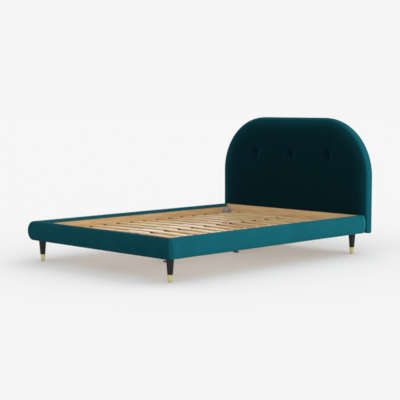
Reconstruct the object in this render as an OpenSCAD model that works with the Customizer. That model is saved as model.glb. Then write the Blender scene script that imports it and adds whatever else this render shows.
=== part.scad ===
// Upholstered double bed frame: arched buttoned headboard, bowed padded rails, turned legs,
// sprung slats on a centre rail with two levelling feet.
// X runs across the bed, Y from the foot to the head, Z up. The origin is on the floor,
// in the middle of the overall length and width.

/* [Mattress space] */
// Width of the mattress that the frame is made for
mattress_w = 1400; // [1200:10:1800]
// Length of that mattress
mattress_l = 2000; // [1900:10:2200]
// Free space beside the mattress, on each side
side_slack = 12; // [6:1:30]
// Free space along the mattress, head and foot together
end_slack = 37; // [20:1:90]

/* [Rails] */
// Height of the rails' underside above the floor
rail_bottom = 158; // [150:1:220]
// Height of the padded rails
rail_h = 141; // [130:1:170]
// Thickness of the boards inside the rails
rail_board_t = 18; // [16:1:25]
// Thickness of the rail padding at mid height
rail_pad_t = 38; // [25:1:50]
// Thickness of that padding along the rails' upper and lower edges, where its bow starts
rail_pad_edge = 12; // [4:1:20]
// Squareness of the padding's bow: 2 is an ellipse, less is leaner, more is fuller
rail_bow = 2; // [1.6:0.1:4.5]
// Thickness of the velvet with its backing
velvet_t = 2; // [1.5:0.5:3]
// Height of the velvet turned in behind each rail board
return_h = 24; // [16:1:24]
// Thickness of the board that joins the side rails at the head
head_rail_t = 25; // [18:1:30]

/* [Headboard] */
// Height of the headboard's top above the floor
headboard_top = 1058; // [950:10:1300]
// How far the headboard stands out past the rails, on each side
headboard_overhang = 10; // [0:1:40]
// Radius of the headboard's shoulders
shoulder_r = 460; // [300:10:600]
// Radius of the soft front edge
edge_r = 22; // [14:1:28]
// How far the pad swells from its edge to its flat middle
pad_crown = 5; // [2:1:8]
// Width of the band over which it swells
crown_reach = 110; // [60:5:150]
// Thickness of the foam over the front panel
headboard_pad_t = 30; // [30:1:50]
// Thickness of the front panel
panel_t = 15; // [12:1:18]
// Thickness of the timber frame behind the panel
frame_t = 22; // [18:1:30]
// How far the panel and its frame stay inside the padded outline
panel_inset = 12; // [8:1:20]
// Width of the arched rim of the timber frame
rim_w = 60; // [40:5:90]
// Width of the two uprights
upright_w = 60; // [40:5:90]
// Height of the timber frame's bottom rail
bottom_rail_h = 110; // [90:5:140]
// Thickness of the cloth over the back
back_cloth_t = 1; // [0.5:0.5:2]
// Width of the velvet turned in over the back
back_return = 40; // [25:5:60]

/* [Buttons] */
// Number of buttons in the row
button_count = 3; // [3:2:5]
// Distance between buttons
button_pitch = 390; // [240:5:420]
// From the headboard's top down to the row of buttons
button_drop = 301; // [250:1:400]
// Radius of a covered button
button_r = 14; // [10:1:18]
// Height of a covered button
button_h = 8; // [5:1:10]
// Depth of the tuft that a button pulls in
tuft_depth = 20; // [12:1:24]
// Radius of the tuft where it meets the flat of the pad
tuft_r = 62; // [40:1:80]
// Radius of the twine that ties a button
twine_r = 1; // [0.8:0.1:1.5]
// Radius of the toggle behind the panel
toggle_r = 12; // [9:1:16]
// Thickness of that toggle
toggle_t = 3; // [2:1:5]

/* [Legs] */
// Diameter of a leg at its top
leg_top_d = 55; // [44:1:60]
// Diameter of a leg at the floor, if its taper ran on
leg_foot_d = 29; // [22:1:36]
// From the inner face of the side rail board in to the leg's axis
leg_in_x = 18; // [13:1:40]
// From the inner face of the foot rail board to the leg's axis
leg_in_foot = 26; // [24:1:60]
// From the front of the head rail board to the leg's axis
leg_in_head = 50; // [30:1:64]
// Height of the brass ferrule
ferrule_h = 51; // [30:1:70]
// Wall of the ferrule
ferrule_wall = 1.2; // [1:0.1:2]
// Thickness of the nylon glide
glide_t = 6; // [4:0.5:10]
// How far the glide stands out below the ferrule
glide_proud = 1.5; // [1:0.5:3]
// Thickness of the corner blocks
block_t = 28; // [24:1:34]
// Side of the square corner blocks
block_side = 90; // [85:1:130]

/* [Slats] */
// Number of slats
slat_count = 14; // [11:1:14]
// Width of a slat
slat_w = 68; // [50:1:70]
// Thickness of a slat
slat_t = 10; // [8:1:12]
// Rise of a slat from its ends to its middle
slat_rise = 14; // [8:1:20]
// From the foot rail board to the first slat, and from the last slat to the head rail
slat_margin = 73; // [64:1:110]
// Side of the square ledges that carry the slats
ledge_side = 28; // [24:1:34]
// Length of a slat holder along its slat
holder_len = 32; // [26:1:44]
// Thickness of a holder's floor
holder_floor = 4; // [3:0.5:6]
// Thickness of a holder's walls
holder_wall = 3; // [2:0.5:4]
// Height of the holder's side walls above its floor
holder_lip = 8; // [5:1:12]
// Radius of the peg under each holder
peg_r = 3.5; // [3:0.5:5]
// Length of that peg
peg_len = 18; // [10:1:20]

/* [Centre rail] */
// Width of the centre rail
centre_rail_w = 50; // [42:1:70]
// Height of the centre rail
centre_rail_h = 38; // [30:1:42]
// Thickness of the saddles between the centre rail and the slats
saddle_t = 6; // [4:1:10]
// Thickness of the steel of the hangers
hanger_t = 2.5; // [2:0.5:4]
// How far a hanger reaches under the centre rail
hanger_reach = 50; // [30:1:70]
// How far a hanger's back plate stands out beside the rail
hanger_ear = 22; // [18:1:30]
// Distance between the two centre legs
centre_leg_pitch = 760; // [500:10:1000]
// Diameter of a centre leg's tube
tube_d = 38; // [34:1:44]
// Wall of that tube
tube_wall = 2; // [1.5:0.5:3]
// Height of the tube's open end above the floor
tube_clear = 38; // [36:1:50]
// Thickness of the plate on top of the tube
top_plate_t = 3; // [2:0.5:5]
// Length of that plate along the rail
top_plate_l = 96; // [92:1:120]

/* [Levelling feet] */
// Diameter of the threaded stem
stem_d = 10; // [8:1:12]
// Pitch of its thread
stem_pitch = 1.5; // [1:0.25:2]
// Height of the stem's upper end above the floor
stem_top = 84; // [76:1:100]
// Radius of the nylon pad
pad_r = 22; // [18:1:28]
// Thickness of the pad
pad_t = 10; // [8:1:14]
// Floor of the pad below the stem's socket
pad_floor = 3; // [2:0.5:5]
// Thickness of the stem's hexagon
hex_t = 6; // [4:1:8]
// Width of the hexagon across its flats
hex_af = 17; // [15:1:19]
// Height of the insert in the tube, without its flange
insert_h = 22; // [16:1:30]
// Thickness of the insert's flange
insert_flange = 3; // [2:0.5:4]

/* [Fasteners] */
// Diameter of the headboard bolts and the hanger bolts
bolt_d = 8; // [6:1:10]
// Half distance between the two inner headboard bolts
bolt_inner_x = 260; // [120:10:300]
// Half distance between the two outer headboard bolts
bolt_outer_x = 560; // [420:10:580]
// How deep a hanger bolt goes into its leg
bolt_in_leg = 50; // [35:1:60]
// Radius of a tee nut's barrel
tee_barrel_r = 5.5; // [5.5:0.1:6]
// Radius of a tee nut's flange
tee_flange_r = 9.5; // [8:0.5:10]
// Thickness of a tee nut's flange
tee_flange_t = 1.5; // [1:0.5:2]
// Length of a tee nut's barrel
tee_barrel_l = 11; // [8:1:14]
// Diameter of the wood screws
screw_d = 4.5; // [4:0.5:5]
// How deep a ledge screw bites into the rail board
screw_bite = 12; // [8:1:14]
// Length of the screws through steel plates
plate_screw_l = 14; // [10:1:15]
// Height of the heads of screws and bolts
head_h = 3; // [2:0.5:5]
// From a steel plate's edge to its screws
plate_edge = 9; // [7:1:11]
// Thickness of the corner brackets
bracket_t = 3; // [2:0.5:4]
// Length of each flange of a corner bracket
bracket_flange = 55; // [45:1:60]
// Height of a corner bracket
bracket_h = 44; // [36:1:46]
// From the corner to the first screw of a bracket
bracket_first = 18; // [14:1:22]
// From that screw to the next
bracket_step = 24; // [16:1:28]

/* [Clearances] */
// Around a fastener in its hole, on the radius
hole_clear = 0.5; // [0.3:0.1:1]
// Around a tight or turning fit, on the radius
fit_clear = 0.08; // [0.05:0.01:0.1]
// Between a piece and the seat or neighbour that it lies against
seat_gap = 0.3; // [0.2:0.05:0.4]
// Between a slat's end and its holder
slat_end_gap = 1; // [0.5:0.5:1]

/* [Hidden] */
$fn = 48;
eps = 0.01; // overrun of cutting shapes
bow_steps = 24; // segments of the bowed rail section
arc_step = 15; // degrees between points of the soft edge
crown_steps = 4; // segments of the crown band
tuft_steps = 6; // segments of a tuft's slope
dome_steps = 5; // segments of a covered button's dome
slat_steps = 24; // segments of a slat's arch
bolt_head_r = bolt_d * 0.9;
screw_head_r = screw_d;

// Places across the bed: inner and outer face of a side rail board, outermost velvet
x_in = mattress_w / 2 + side_slack;
x_board = x_in + rail_board_t;
rail_out = rail_board_t + rail_pad_t + velvet_t;
x_out = x_in + rail_out;
x_clear = x_in - velvet_t; // inside the turned-in velvet
half_w = x_out + headboard_overhang; // half the headboard's width

// Places along the bed: back and front of the headboard, faces of the head and foot boards
headboard_t = back_cloth_t + velvet_t + frame_t + panel_t + headboard_pad_t + velvet_t;
inner_l = mattress_l + end_slack;
y_back = (rail_out + inner_l + head_rail_t + headboard_t) / 2;
y_head = y_back - headboard_t;
y_rail = y_head - head_rail_t;
y_foot = y_rail - inner_l;
y_mid = (y_rail + y_foot) / 2;

// Heights
rail_top = rail_bottom + rail_h;
block_top = rail_bottom + block_t;
ledge_top = block_top + ledge_side;
slat_z = ledge_top + holder_floor; // underside of a slat's end
centre_top = slat_z + slat_rise - seat_gap - saddle_t; // top of the centre rail
centre_bottom = centre_top - centre_rail_h;
bracket_z = ledge_top + seat_gap;
bolt_z = rail_bottom + rail_h / 2;

// Layers of the headboard from its back, and its outline seen from the front
z_frame = back_cloth_t + velvet_t;
z_panel = z_frame + frame_t;
z_foam = z_panel + panel_t;
headboard_h = headboard_top - rail_bottom;
shoulder_x = half_w - shoulder_r; // centres of the shoulders' arcs
shoulder_y = headboard_h - shoulder_r;
tuft_floor = headboard_t - tuft_depth;

// Slats and their holders
slat_half = x_in - holder_wall - slat_end_gap; // half the length of a slat
slat_pitch = (inner_l - 2 * slat_margin - slat_w) / (slat_count - 1);
slot_half = slat_w / 2 + seat_gap;
peg_x = x_in - ledge_side / 2;

// Legs and levelling feet
leg_x = x_in - leg_in_x;
leg_foot_y = y_foot + leg_in_foot;
leg_head_y = y_rail - leg_in_head;
stem_bore_r = stem_d / 2 + fit_clear;
channel_half = centre_rail_w / 2 + seat_gap; // inside of a hanger
plate_half = channel_half + hanger_t + hanger_ear;

function slat_name(i) = str("slat_", i < 9 ? "0" : "", i + 1);
function slat_y(i) = y_foot + slat_margin + slat_w / 2 + i * slat_pitch;

// Placing of shared shapes

module both_sides() {
    children();
    mirror([1, 0, 0]) children();
}

module leg_places() {
    both_sides() {
        translate([leg_x, leg_foot_y, 0]) children();
        translate([leg_x, leg_head_y, 0]) children();
    }
}

// The headboard is drawn lying on its back, then stood up
module stand_headboard() {
    translate([0, y_back, rail_bottom]) rotate([90, 0, 0]) children();
}

module button_places() {
    for (i = [0 : button_count - 1])
        translate([(i - (button_count - 1) / 2) * button_pitch, headboard_h - button_drop, 0]) children();
}

// Along Y, with a bolt's point towards the head
module bolt_places() {
    for (x = [-bolt_outer_x, -bolt_inner_x, bolt_inner_x, bolt_outer_x])
        translate([x, y_rail, bolt_z]) rotate([90, 0, 0]) children();
}

module slat_places() {
    for (i = [0 : slat_count - 1]) translate([0, slat_y(i), 0]) children();
}

// The four inner corners of the frame, all turned to face in
module bracket_places() {
    both_sides() {
        translate([x_in, y_foot, bracket_z]) children();
        translate([x_in, y_rail, bracket_z]) mirror([0, 1, 0]) children();
    }
}

module centre_leg_place(side) {
    translate([0, y_mid + side * centre_leg_pitch / 2, 0]) children();
}

// A drawing in X and Z, drawn out from y0 to y1
module along_y(y0, y1) {
    translate([0, y1, 0]) rotate([90, 0, 0]) linear_extrude(y1 - y0) children();
}

// A drawing in (towards the foot, up), drawn out across the bed
module across_foot() {
    translate([x_out, y_foot, rail_bottom]) rotate([90, 0, -90]) linear_extrude(2 * x_out) children();
}

// A rail section drawn out along the right-hand side
module along_side() {
    translate([x_in, 0, rail_bottom]) along_y(y_foot, y_head) children();
}

// Fasteners

// Shank along -Z from the underside of the head
module pan_screw(d, head_r, len) {
    translate([0, 0, -len]) cylinder(d = d, h = len + eps);
    cylinder(r = head_r, h = head_h);
}

module plate_screw() {
    pan_screw(screw_d, screw_head_r, plate_screw_l);
}

module plate_screw_hole() {
    translate([0, 0, -plate_screw_l - eps])
        cylinder(r = screw_d / 2 + fit_clear, h = plate_screw_l + head_h);
}

// Flange face at 0, barrel along -Z
module tee_nut() {
    difference() {
        union() {
            translate([0, 0, -tee_flange_t]) cylinder(r = tee_flange_r, h = tee_flange_t);
            translate([0, 0, -tee_flange_t - tee_barrel_l])
                cylinder(r = tee_barrel_r, h = tee_barrel_l + eps);
        }
        translate([0, 0, -tee_flange_t - tee_barrel_l - eps])
            cylinder(r = bolt_d / 2 + fit_clear, h = tee_flange_t + tee_barrel_l + 2 * eps);
    }
}

// From a headboard bolt's place to the back of the timber frame, facing back
module headboard_nut_seat() {
    translate([0, 0, z_frame - head_rail_t - headboard_t]) rotate([180, 0, 0]) children();
}

// Recess for a tee nut, with the bolt's way on through depth
module tee_nut_hole(depth) {
    translate([0, 0, -tee_flange_t]) cylinder(r = tee_flange_r + fit_clear, h = tee_flange_t + eps);
    translate([0, 0, -tee_flange_t - tee_barrel_l])
        cylinder(r = tee_barrel_r + fit_clear, h = tee_barrel_l + eps);
    translate([0, 0, -depth - eps]) cylinder(r = bolt_d / 2 + hole_clear, h = depth);
}

module headboard_bolt_holes() {
    reach = head_rail_t + headboard_t;
    bolt_places() translate([0, 0, -reach - eps]) cylinder(r = bolt_d / 2 + hole_clear, h = reach + 2 * eps);
}

// Screws of a bracket's two flanges, at one corner
module bracket_screw_places() {
    for (d = [bracket_first, bracket_first + bracket_step]) {
        translate([-bracket_t, d, bracket_h / 2]) rotate([0, -90, 0]) children();
        translate([-d, bracket_t, bracket_h / 2]) rotate([-90, 0, 0]) children();
    }
}

module bracket_screw_holes() {
    bracket_places() bracket_screw_places() plate_screw_hole();
}

// Screws of the hangers' back plates
module hanger_screw_places() {
    for (x = [-plate_half + plate_edge, plate_half - plate_edge])
        for (z = [centre_bottom + plate_edge - hanger_t, centre_top - plate_edge]) {
            translate([x, y_foot + hanger_t, z]) rotate([-90, 0, 0]) children();
            translate([x, y_rail - hanger_t, z]) rotate([90, 0, 0]) children();
        }
}

// Screws of the centre legs' top plates
module top_plate_screw_places() {
    for (side = [-1, 1])
        centre_leg_place(side)
            for (x = [-1, 1])
                for (y = [-1, 1])
                    translate([
                        x * (centre_rail_w / 2 - plate_edge),
                        y * (top_plate_l / 2 - plate_edge),
                        centre_bottom - top_plate_t
                    ]) rotate([180, 0, 0]) children();
}

// Screws through a slat ledge, midway between two slats
module ledge_screw_places() {
    for (i = [0 : 2 : slat_count - 2])
        translate([x_in - ledge_side, slat_y(i) + slat_pitch / 2, ledge_top - ledge_side / 2])
            rotate([0, -90, 0]) children();
}

module ledge_screw_holes() {
    reach = ledge_side + screw_bite + eps;
    ledge_screw_places() translate([0, 0, -reach]) cylinder(r = screw_d / 2 + fit_clear, h = reach + eps);
}

// Rail sections, drawn as (outwards from the board's inner face, up from the rail's underside)

// Share of the bow's depth at height u, from -1 to 1 up the rail
function bow(u) = sqrt(max(0, 1 - pow(abs(u), rail_bow)));

// Bowed edge from bottom to top, for padding that swells by pad inside a skin of inset
function bow_points(pad, inset) = [
    for (i = [0 : bow_steps])
        let (u = sin(180 * i / bow_steps - 90))
        [
            rail_board_t + rail_pad_edge + (pad - rail_pad_edge) * bow(u),
            rail_h / 2 + u * (rail_h / 2 - inset)
        ]
];

module rail_outline(pad, inset) {
    polygon(concat([[0, rail_h - inset], [0, inset]], bow_points(pad, inset)));
}

module rail_board_section() {
    translate([0, velvet_t]) square([rail_board_t, rail_h - 2 * velvet_t]);
}

// The same bow at both ends of the foot rail, seen from the foot
module ends_outline(pad, inset) {
    right = [for (p = bow_points(pad, inset)) [x_in + p[0], p[1]]];
    left = [for (i = [bow_steps : -1 : 0]) [-right[i][0], right[i][1]]];
    polygon(concat(right, left));
}

module foot_form(pad, inset) {
    intersection() {
        across_foot() rail_outline(pad, inset);
        translate([0, 0, rail_bottom]) along_y(y_foot - rail_out, y_foot) ends_outline(pad, inset);
    }
}

module foot_board_block() {
    translate([-x_board, y_foot - rail_board_t, rail_bottom + velvet_t])
        cube([2 * x_board, rail_board_t, rail_h - 2 * velvet_t]);
}

// Room that the velvet closes at the foot: the filling, and a skin behind the ends
module foot_filling() {
    intersection() {
        foot_form(rail_pad_t, velvet_t);
        translate([-x_out, y_foot - velvet_t - rail_out, rail_bottom]) cube([2 * x_out, rail_out, rail_h]);
    }
}

// Headboard forms, drawn lying on their backs

// A flat arch between two heights, inset from the padded outline
module arch_slab(inset, z0, z1) {
    t = z1 - z0;
    translate([inset - half_w, inset, z0]) cube([2 * (half_w - inset), shoulder_y - inset, t]);
    translate([-shoulder_x, shoulder_y, z0]) cube([2 * shoulder_x, shoulder_r - inset, t]);
    both_sides() translate([shoulder_x, shoulder_y, z0])
        rotate_extrude(angle = 90) square([shoulder_r - inset, t]);
}

// Soft edge and crown as (distance in from the outline, height), inside a skin of inset
function edge_points(inset) = let (r = edge_r - inset, t = headboard_t - inset) concat(
    [for (a = [0 : arc_step : 90]) [r * (1 - cos(a)), t - pad_crown - r * (1 - sin(a))]],
    [for (i = [1 : crown_steps])
        let (s = i / crown_steps)
        [r + (crown_reach - edge_r) * s, t - pad_crown * pow(1 - s, 2)]]
);

// Section from an outer edge at x1 back to x0, with the soft edge at x1
function edge_section(inset, z0, x0, x1) = concat(
    [[x1, z0]],
    [for (p = edge_points(inset)) [x1 - p[0], p[1]]],
    [[x0, headboard_t - inset], [x0, z0]]
);

// The padded front: soft edge all round, flat behind at z0
module pad_form(inset, z0) {
    x1 = half_w - inset;
    edge = edge_section(inset, z0, 0, x1);
    difference() {
        union() {
            intersection() {
                translate([0, shoulder_y, 0]) rotate([90, 0, 0]) linear_extrude(shoulder_y - inset)
                    polygon(concat(
                        [for (i = [0 : len(edge) - 3]) edge[i]],
                        [for (i = [len(edge) - 3 : -1 : 0]) [-edge[i][0], edge[i][1]]]
                    ));
                translate([x1, 0, 0]) rotate([90, 0, -90]) linear_extrude(2 * x1)
                    polygon(edge_section(inset, z0, -shoulder_y, -inset));
            }
            translate([-shoulder_x, 0, 0]) rotate([90, 0, 90]) linear_extrude(2 * shoulder_x)
                polygon(edge_section(inset, z0, shoulder_y, headboard_h - inset));
            both_sides() translate([shoulder_x, shoulder_y, 0])
                rotate_extrude(angle = 90) polygon(edge_section(inset, z0, 0, shoulder_r - inset));
        }
        button_places() tuft(headboard_t - inset);
    }
}

// Hollow that a button pulls into a face at height t
module tuft(t) {
    floor_r = button_r + 1;
    rotate_extrude() polygon(concat(
        [[0, t + 1], [0, t - tuft_depth]],
        [for (i = [0 : tuft_steps])
            let (s = i / tuft_steps)
            [floor_r + (tuft_r - floor_r) * s, t - tuft_depth * pow(1 - s, 2)]],
        [[tuft_r, t + 1]]
    ));
}

module tie_holes() {
    button_places() cylinder(r = twine_r + fit_clear, h = headboard_t);
}

// Headboard pieces

module headboard_panel() {
    color("burlywood") difference() {
        stand_headboard() difference() {
            arch_slab(panel_inset, z_panel, z_foam);
            tie_holes();
        }
        headboard_bolt_holes();
    }
}

module headboard_rim() {
    bottom = panel_inset + bottom_rail_h;
    color("wheat") stand_headboard() difference() {
        arch_slab(panel_inset, z_frame, z_panel);
        arch_slab(panel_inset + rim_w, z_frame - eps, z_panel + eps);
        translate([-half_w, 0, z_frame - eps]) cube([2 * half_w, bottom, frame_t + 2 * eps]);
    }
}

module headboard_uprights() {
    bottom = panel_inset + bottom_rail_h;
    color("wheat") stand_headboard() intersection() {
        both_sides() translate([(button_pitch - upright_w) / 2, bottom, z_frame])
            cube([upright_w, headboard_h, frame_t]);
        arch_slab(panel_inset + rim_w, z_frame, z_panel);
    }
}

module headboard_bottom_rail() {
    color("wheat") difference() {
        stand_headboard() translate([panel_inset - half_w, panel_inset, z_frame])
            cube([2 * (half_w - panel_inset), bottom_rail_h, frame_t]);
        bolt_places() headboard_nut_seat() tee_nut_hole(frame_t + eps);
    }
}

module headboard_foam() {
    color("lemonchiffon") difference() {
        stand_headboard() difference() {
            pad_form(velvet_t, z_frame);
            arch_slab(panel_inset, z_frame - eps, z_foam);
            tie_holes();
        }
        headboard_bolt_holes();
    }
}

module headboard_cover() {
    color([0.02, 0.27, 0.31]) difference() {
        stand_headboard() difference() {
            pad_form(0, back_cloth_t);
            pad_form(velvet_t, z_frame);
            arch_slab(back_return, back_cloth_t - eps, z_frame + eps);
            tie_holes();
        }
        headboard_bolt_holes();
    }
}

module headboard_back_cloth() {
    color("dimgray") stand_headboard() arch_slab(panel_inset, 0, back_cloth_t);
}

module headboard_buttons() {
    tie_depth = button_h / 2;
    rim_h = button_h / 4;
    dome = [
        for (i = [0 : dome_steps])
            let (a = 90 * i / dome_steps)
            [button_r * cos(a), rim_h + (button_h - rim_h) * sin(a)]
    ];
    color([0.02, 0.25, 0.28]) stand_headboard() button_places() translate([0, 0, tuft_floor])
        difference() {
            rotate_extrude() polygon(concat([[0, 0], [button_r, 0]], dome));
            translate([0, 0, -eps]) cylinder(r = twine_r + fit_clear, h = tie_depth + eps);
        }
}

module button_ties() {
    tie_depth = button_h / 2;
    color("silver") stand_headboard() button_places() {
        translate([0, 0, z_panel - toggle_t]) cylinder(r = toggle_r, h = toggle_t);
        translate([0, 0, z_panel - eps]) cylinder(r = twine_r, h = tuft_floor + tie_depth - z_panel + eps);
    }
}

// Rail pieces

module side_rail_board() {
    color("burlywood") difference() {
        along_side() rail_board_section();
        ledge_screw_holes();
        bracket_screw_holes();
    }
}

module side_rail_foam() {
    color("lemonchiffon") along_side() difference() {
        rail_outline(rail_pad_t, velvet_t);
        rail_board_section();
    }
}

module side_rail_cover() {
    color([0.08, 0.41, 0.45]) along_side() {
        difference() {
            rail_outline(rail_pad_t + velvet_t, 0);
            rail_outline(rail_pad_t, velvet_t);
        }
        translate([-velvet_t, 0]) square([velvet_t, return_h]);
        translate([-velvet_t, rail_h - return_h]) square([velvet_t, return_h]);
    }
}

module side_rail_board_right() { side_rail_board(); }
module side_rail_board_left() { mirror([1, 0, 0]) side_rail_board(); }
module side_rail_foam_right() { side_rail_foam(); }
module side_rail_foam_left() { mirror([1, 0, 0]) side_rail_foam(); }
module side_rail_cover_right() { side_rail_cover(); }
module side_rail_cover_left() { mirror([1, 0, 0]) side_rail_cover(); }

module foot_rail_board() {
    color("burlywood") difference() {
        foot_board_block();
        bracket_screw_holes();
        hanger_screw_places() plate_screw_hole();
    }
}

module foot_rail_foam() {
    color("lemonchiffon") difference() {
        foot_filling();
        foot_board_block();
    }
}

module foot_rail_cover() {
    hanger_low = centre_bottom - hanger_t - hole_clear;
    color([0.02, 0.27, 0.31]) {
        difference() {
            foot_form(rail_pad_t + velvet_t, 0);
            foot_filling();
            foot_board_block();
        }
        difference() {
            for (z = [rail_bottom, rail_top - return_h])
                translate([-x_clear, y_foot, z]) cube([2 * x_clear, velvet_t, return_h]);
            translate([-plate_half - hole_clear, y_foot, hanger_low])
                cube([2 * (plate_half + hole_clear), velvet_t + eps, centre_top - hanger_low]);
        }
    }
}

module head_rail_board() {
    color("burlywood") difference() {
        translate([-x_clear, y_rail, rail_bottom + velvet_t])
            cube([2 * x_clear, head_rail_t, rail_h - 2 * velvet_t]);
        headboard_bolt_holes();
        bracket_screw_holes();
        hanger_screw_places() plate_screw_hole();
    }
}

module corner_brackets() {
    color("silver") difference() {
        bracket_places() {
            translate([-bracket_t, 0, 0]) cube([bracket_t, bracket_flange, bracket_h]);
            translate([-bracket_flange, 0, 0]) cube([bracket_flange, bracket_t, bracket_h]);
        }
        bracket_screw_holes();
    }
}

module headboard_bolts() {
    len = head_rail_t + headboard_t - z_frame - tee_flange_t;
    color("silver") bolt_places() pan_screw(bolt_d, bolt_head_r, len);
}

module tee_nuts() {
    color("gray") {
        bolt_places() headboard_nut_seat() tee_nut();
        leg_places() translate([0, 0, block_top]) tee_nut();
    }
}

// Leg pieces

// Radius of the leg's taper at height z
function leg_r(z) = (leg_foot_d + (leg_top_d - leg_foot_d) * z / rail_bottom) / 2;

module taper(z0, z1, inset) {
    translate([0, 0, z0]) cylinder(r1 = leg_r(z0) - inset, r2 = leg_r(z1) - inset, h = z1 - z0);
}

module leg() {
    pin_r = glide_t / 4;
    color([0.12, 0.11, 0.11]) difference() {
        union() {
            taper(ferrule_h, rail_bottom, 0);
            taper(glide_t, ferrule_h + eps, ferrule_wall + fit_clear);
        }
        translate([0, 0, rail_bottom - bolt_in_leg])
            cylinder(r = bolt_d / 2 + fit_clear, h = bolt_in_leg + eps);
        translate([0, 0, glide_t - eps]) cylinder(r = pin_r + fit_clear, h = 2 * glide_t);
    }
}

module leg_foot_right() { translate([leg_x, leg_foot_y, 0]) leg(); }
module leg_foot_left() { translate([-leg_x, leg_foot_y, 0]) leg(); }
module leg_head_right() { translate([leg_x, leg_head_y, 0]) leg(); }
module leg_head_left() { translate([-leg_x, leg_head_y, 0]) leg(); }

module leg_ferrules() {
    color([0.83, 0.73, 0.42]) leg_places() difference() {
        taper(glide_proud, ferrule_h, 0);
        taper(glide_proud - eps, ferrule_h + eps, ferrule_wall);
    }
}

// Discs with a pin up into the leg
module leg_glides() {
    pin_r = glide_t / 4;
    color([0.1, 0.1, 0.1]) leg_places() {
        cylinder(r = leg_r(0) - ferrule_wall - fit_clear, h = glide_t);
        cylinder(r = pin_r, h = 2.5 * glide_t);
    }
}

module hanger_bolts() {
    top = block_top - tee_flange_t;
    color("silver") leg_places() translate([0, 0, rail_bottom - bolt_in_leg])
        cylinder(d = bolt_d, h = top - rail_bottom + bolt_in_leg);
}

module corner_blocks() {
    color("wheat") difference() {
        both_sides()
            for (y = [y_foot + velvet_t, y_rail - block_side])
                translate([x_clear - block_side, y, rail_bottom]) cube([block_side, block_side, block_t]);
        leg_places() translate([0, 0, block_top]) tee_nut_hole(block_t + eps);
    }
}

// Slat pieces

module slat_ledge() {
    color("wheat") difference() {
        translate([x_in - ledge_side, y_foot, block_top]) cube([ledge_side, inner_l, ledge_side]);
        slat_places() translate([peg_x, 0, ledge_top - peg_len - hole_clear])
            cylinder(r = peg_r + fit_clear, h = peg_len + 1);
        ledge_screw_holes();
    }
}

module slat_ledge_right() { slat_ledge(); }
module slat_ledge_left() { mirror([1, 0, 0]) slat_ledge(); }

module ledge_screws() {
    color("gainsboro") both_sides() ledge_screw_places()
        pan_screw(screw_d, screw_head_r, ledge_side + screw_bite);
}

// A floor with a peg below it, two side walls and an end wall
module slat_holder() {
    half = slot_half + holder_wall;
    difference() {
        translate([x_in - holder_len, -half, ledge_top])
            cube([holder_len, 2 * half, holder_floor + holder_lip]);
        translate([x_in - holder_len - eps, -slot_half, slat_z])
            cube([holder_len - holder_wall + eps, 2 * slot_half, holder_lip + eps]);
    }
    translate([peg_x, 0, ledge_top - peg_len]) cylinder(r = peg_r, h = peg_len + eps);
}

module slat_holders() {
    color([0.15, 0.15, 0.16]) both_sides() slat_places() slat_holder();
}

// A saddle on the centre rail, under the middle of each slat
module slat_saddles() {
    half = slot_half + holder_wall;
    lip_top = centre_top + saddle_t + holder_lip;
    color([0.15, 0.15, 0.16]) slat_places() {
        difference() {
            translate([-holder_len / 2, -half, centre_top])
                cube([holder_len, 2 * half, lip_top - centre_top]);
            translate([-holder_len / 2 - eps, -slot_half, centre_top + saddle_t])
                cube([holder_len + 2 * eps, 2 * slot_half, holder_lip + eps]);
        }
        translate([0, 0, centre_top - peg_len]) cylinder(r = peg_r, h = peg_len + eps);
    }
}

// Underside of a slat at x
function slat_curve(x) = slat_z + slat_rise * (1 - pow(x / slat_half, 2));

module slat(i) {
    xs = [for (k = [0 : slat_steps]) slat_half * (2 * k / slat_steps - 1)];
    under = [for (x = xs) [x, slat_curve(x)]];
    over = [for (k = [slat_steps : -1 : 0]) [xs[k], slat_curve(xs[k]) + slat_t]];
    color([0.87, 0.76, 0.58]) along_y(slat_y(i) - slat_w / 2, slat_y(i) + slat_w / 2)
        polygon(concat(under, over));
}

// Centre rail, its hangers and its legs

module centre_rail() {
    end = hanger_t + seat_gap;
    color("wheat") difference() {
        translate([-centre_rail_w / 2, y_foot + end, centre_bottom])
            cube([centre_rail_w, inner_l - 2 * end, centre_rail_h]);
        slat_places() translate([0, 0, centre_top - peg_len - hole_clear])
            cylinder(r = peg_r + fit_clear, h = peg_len + 1);
        top_plate_screw_places() plate_screw_hole();
    }
}

// One hanger at the foot: a back plate and a channel under the rail
module hanger() {
    channel_x = channel_half + hanger_t;
    bottom = centre_bottom - hanger_t;
    height = centre_top - bottom;
    translate([-plate_half, y_foot, bottom]) cube([2 * plate_half, hanger_t, height]);
    difference() {
        translate([-channel_x, y_foot, bottom]) cube([2 * channel_x, hanger_reach, height]);
        translate([-channel_half, y_foot + hanger_t, centre_bottom])
            cube([2 * channel_half, hanger_reach, centre_rail_h + eps]);
    }
}

module centre_rail_hangers() {
    color("silver") difference() {
        union() {
            hanger();
            translate([0, 2 * y_mid, 0]) mirror([0, 1, 0]) hanger();
        }
        hanger_screw_places() plate_screw_hole();
    }
}

module plate_screws() {
    color("gainsboro") {
        bracket_places() bracket_screw_places() plate_screw();
        hanger_screw_places() plate_screw();
        top_plate_screw_places() plate_screw();
    }
}

// Top plate with the tube welded under it
module centre_leg(side) {
    top = centre_bottom - top_plate_t;
    color([0.1, 0.1, 0.11]) difference() {
        centre_leg_place(side) difference() {
            union() {
                translate([-centre_rail_w / 2, -top_plate_l / 2, top])
                    cube([centre_rail_w, top_plate_l, top_plate_t]);
                translate([0, 0, tube_clear]) cylinder(d = tube_d, h = top - tube_clear + eps);
            }
            translate([0, 0, tube_clear - eps])
                cylinder(r = tube_d / 2 - tube_wall, h = top - tube_clear + eps);
        }
        top_plate_screw_places() plate_screw_hole();
    }
}

module centre_leg_front() { centre_leg(-1); }
module centre_leg_rear() { centre_leg(1); }

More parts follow.
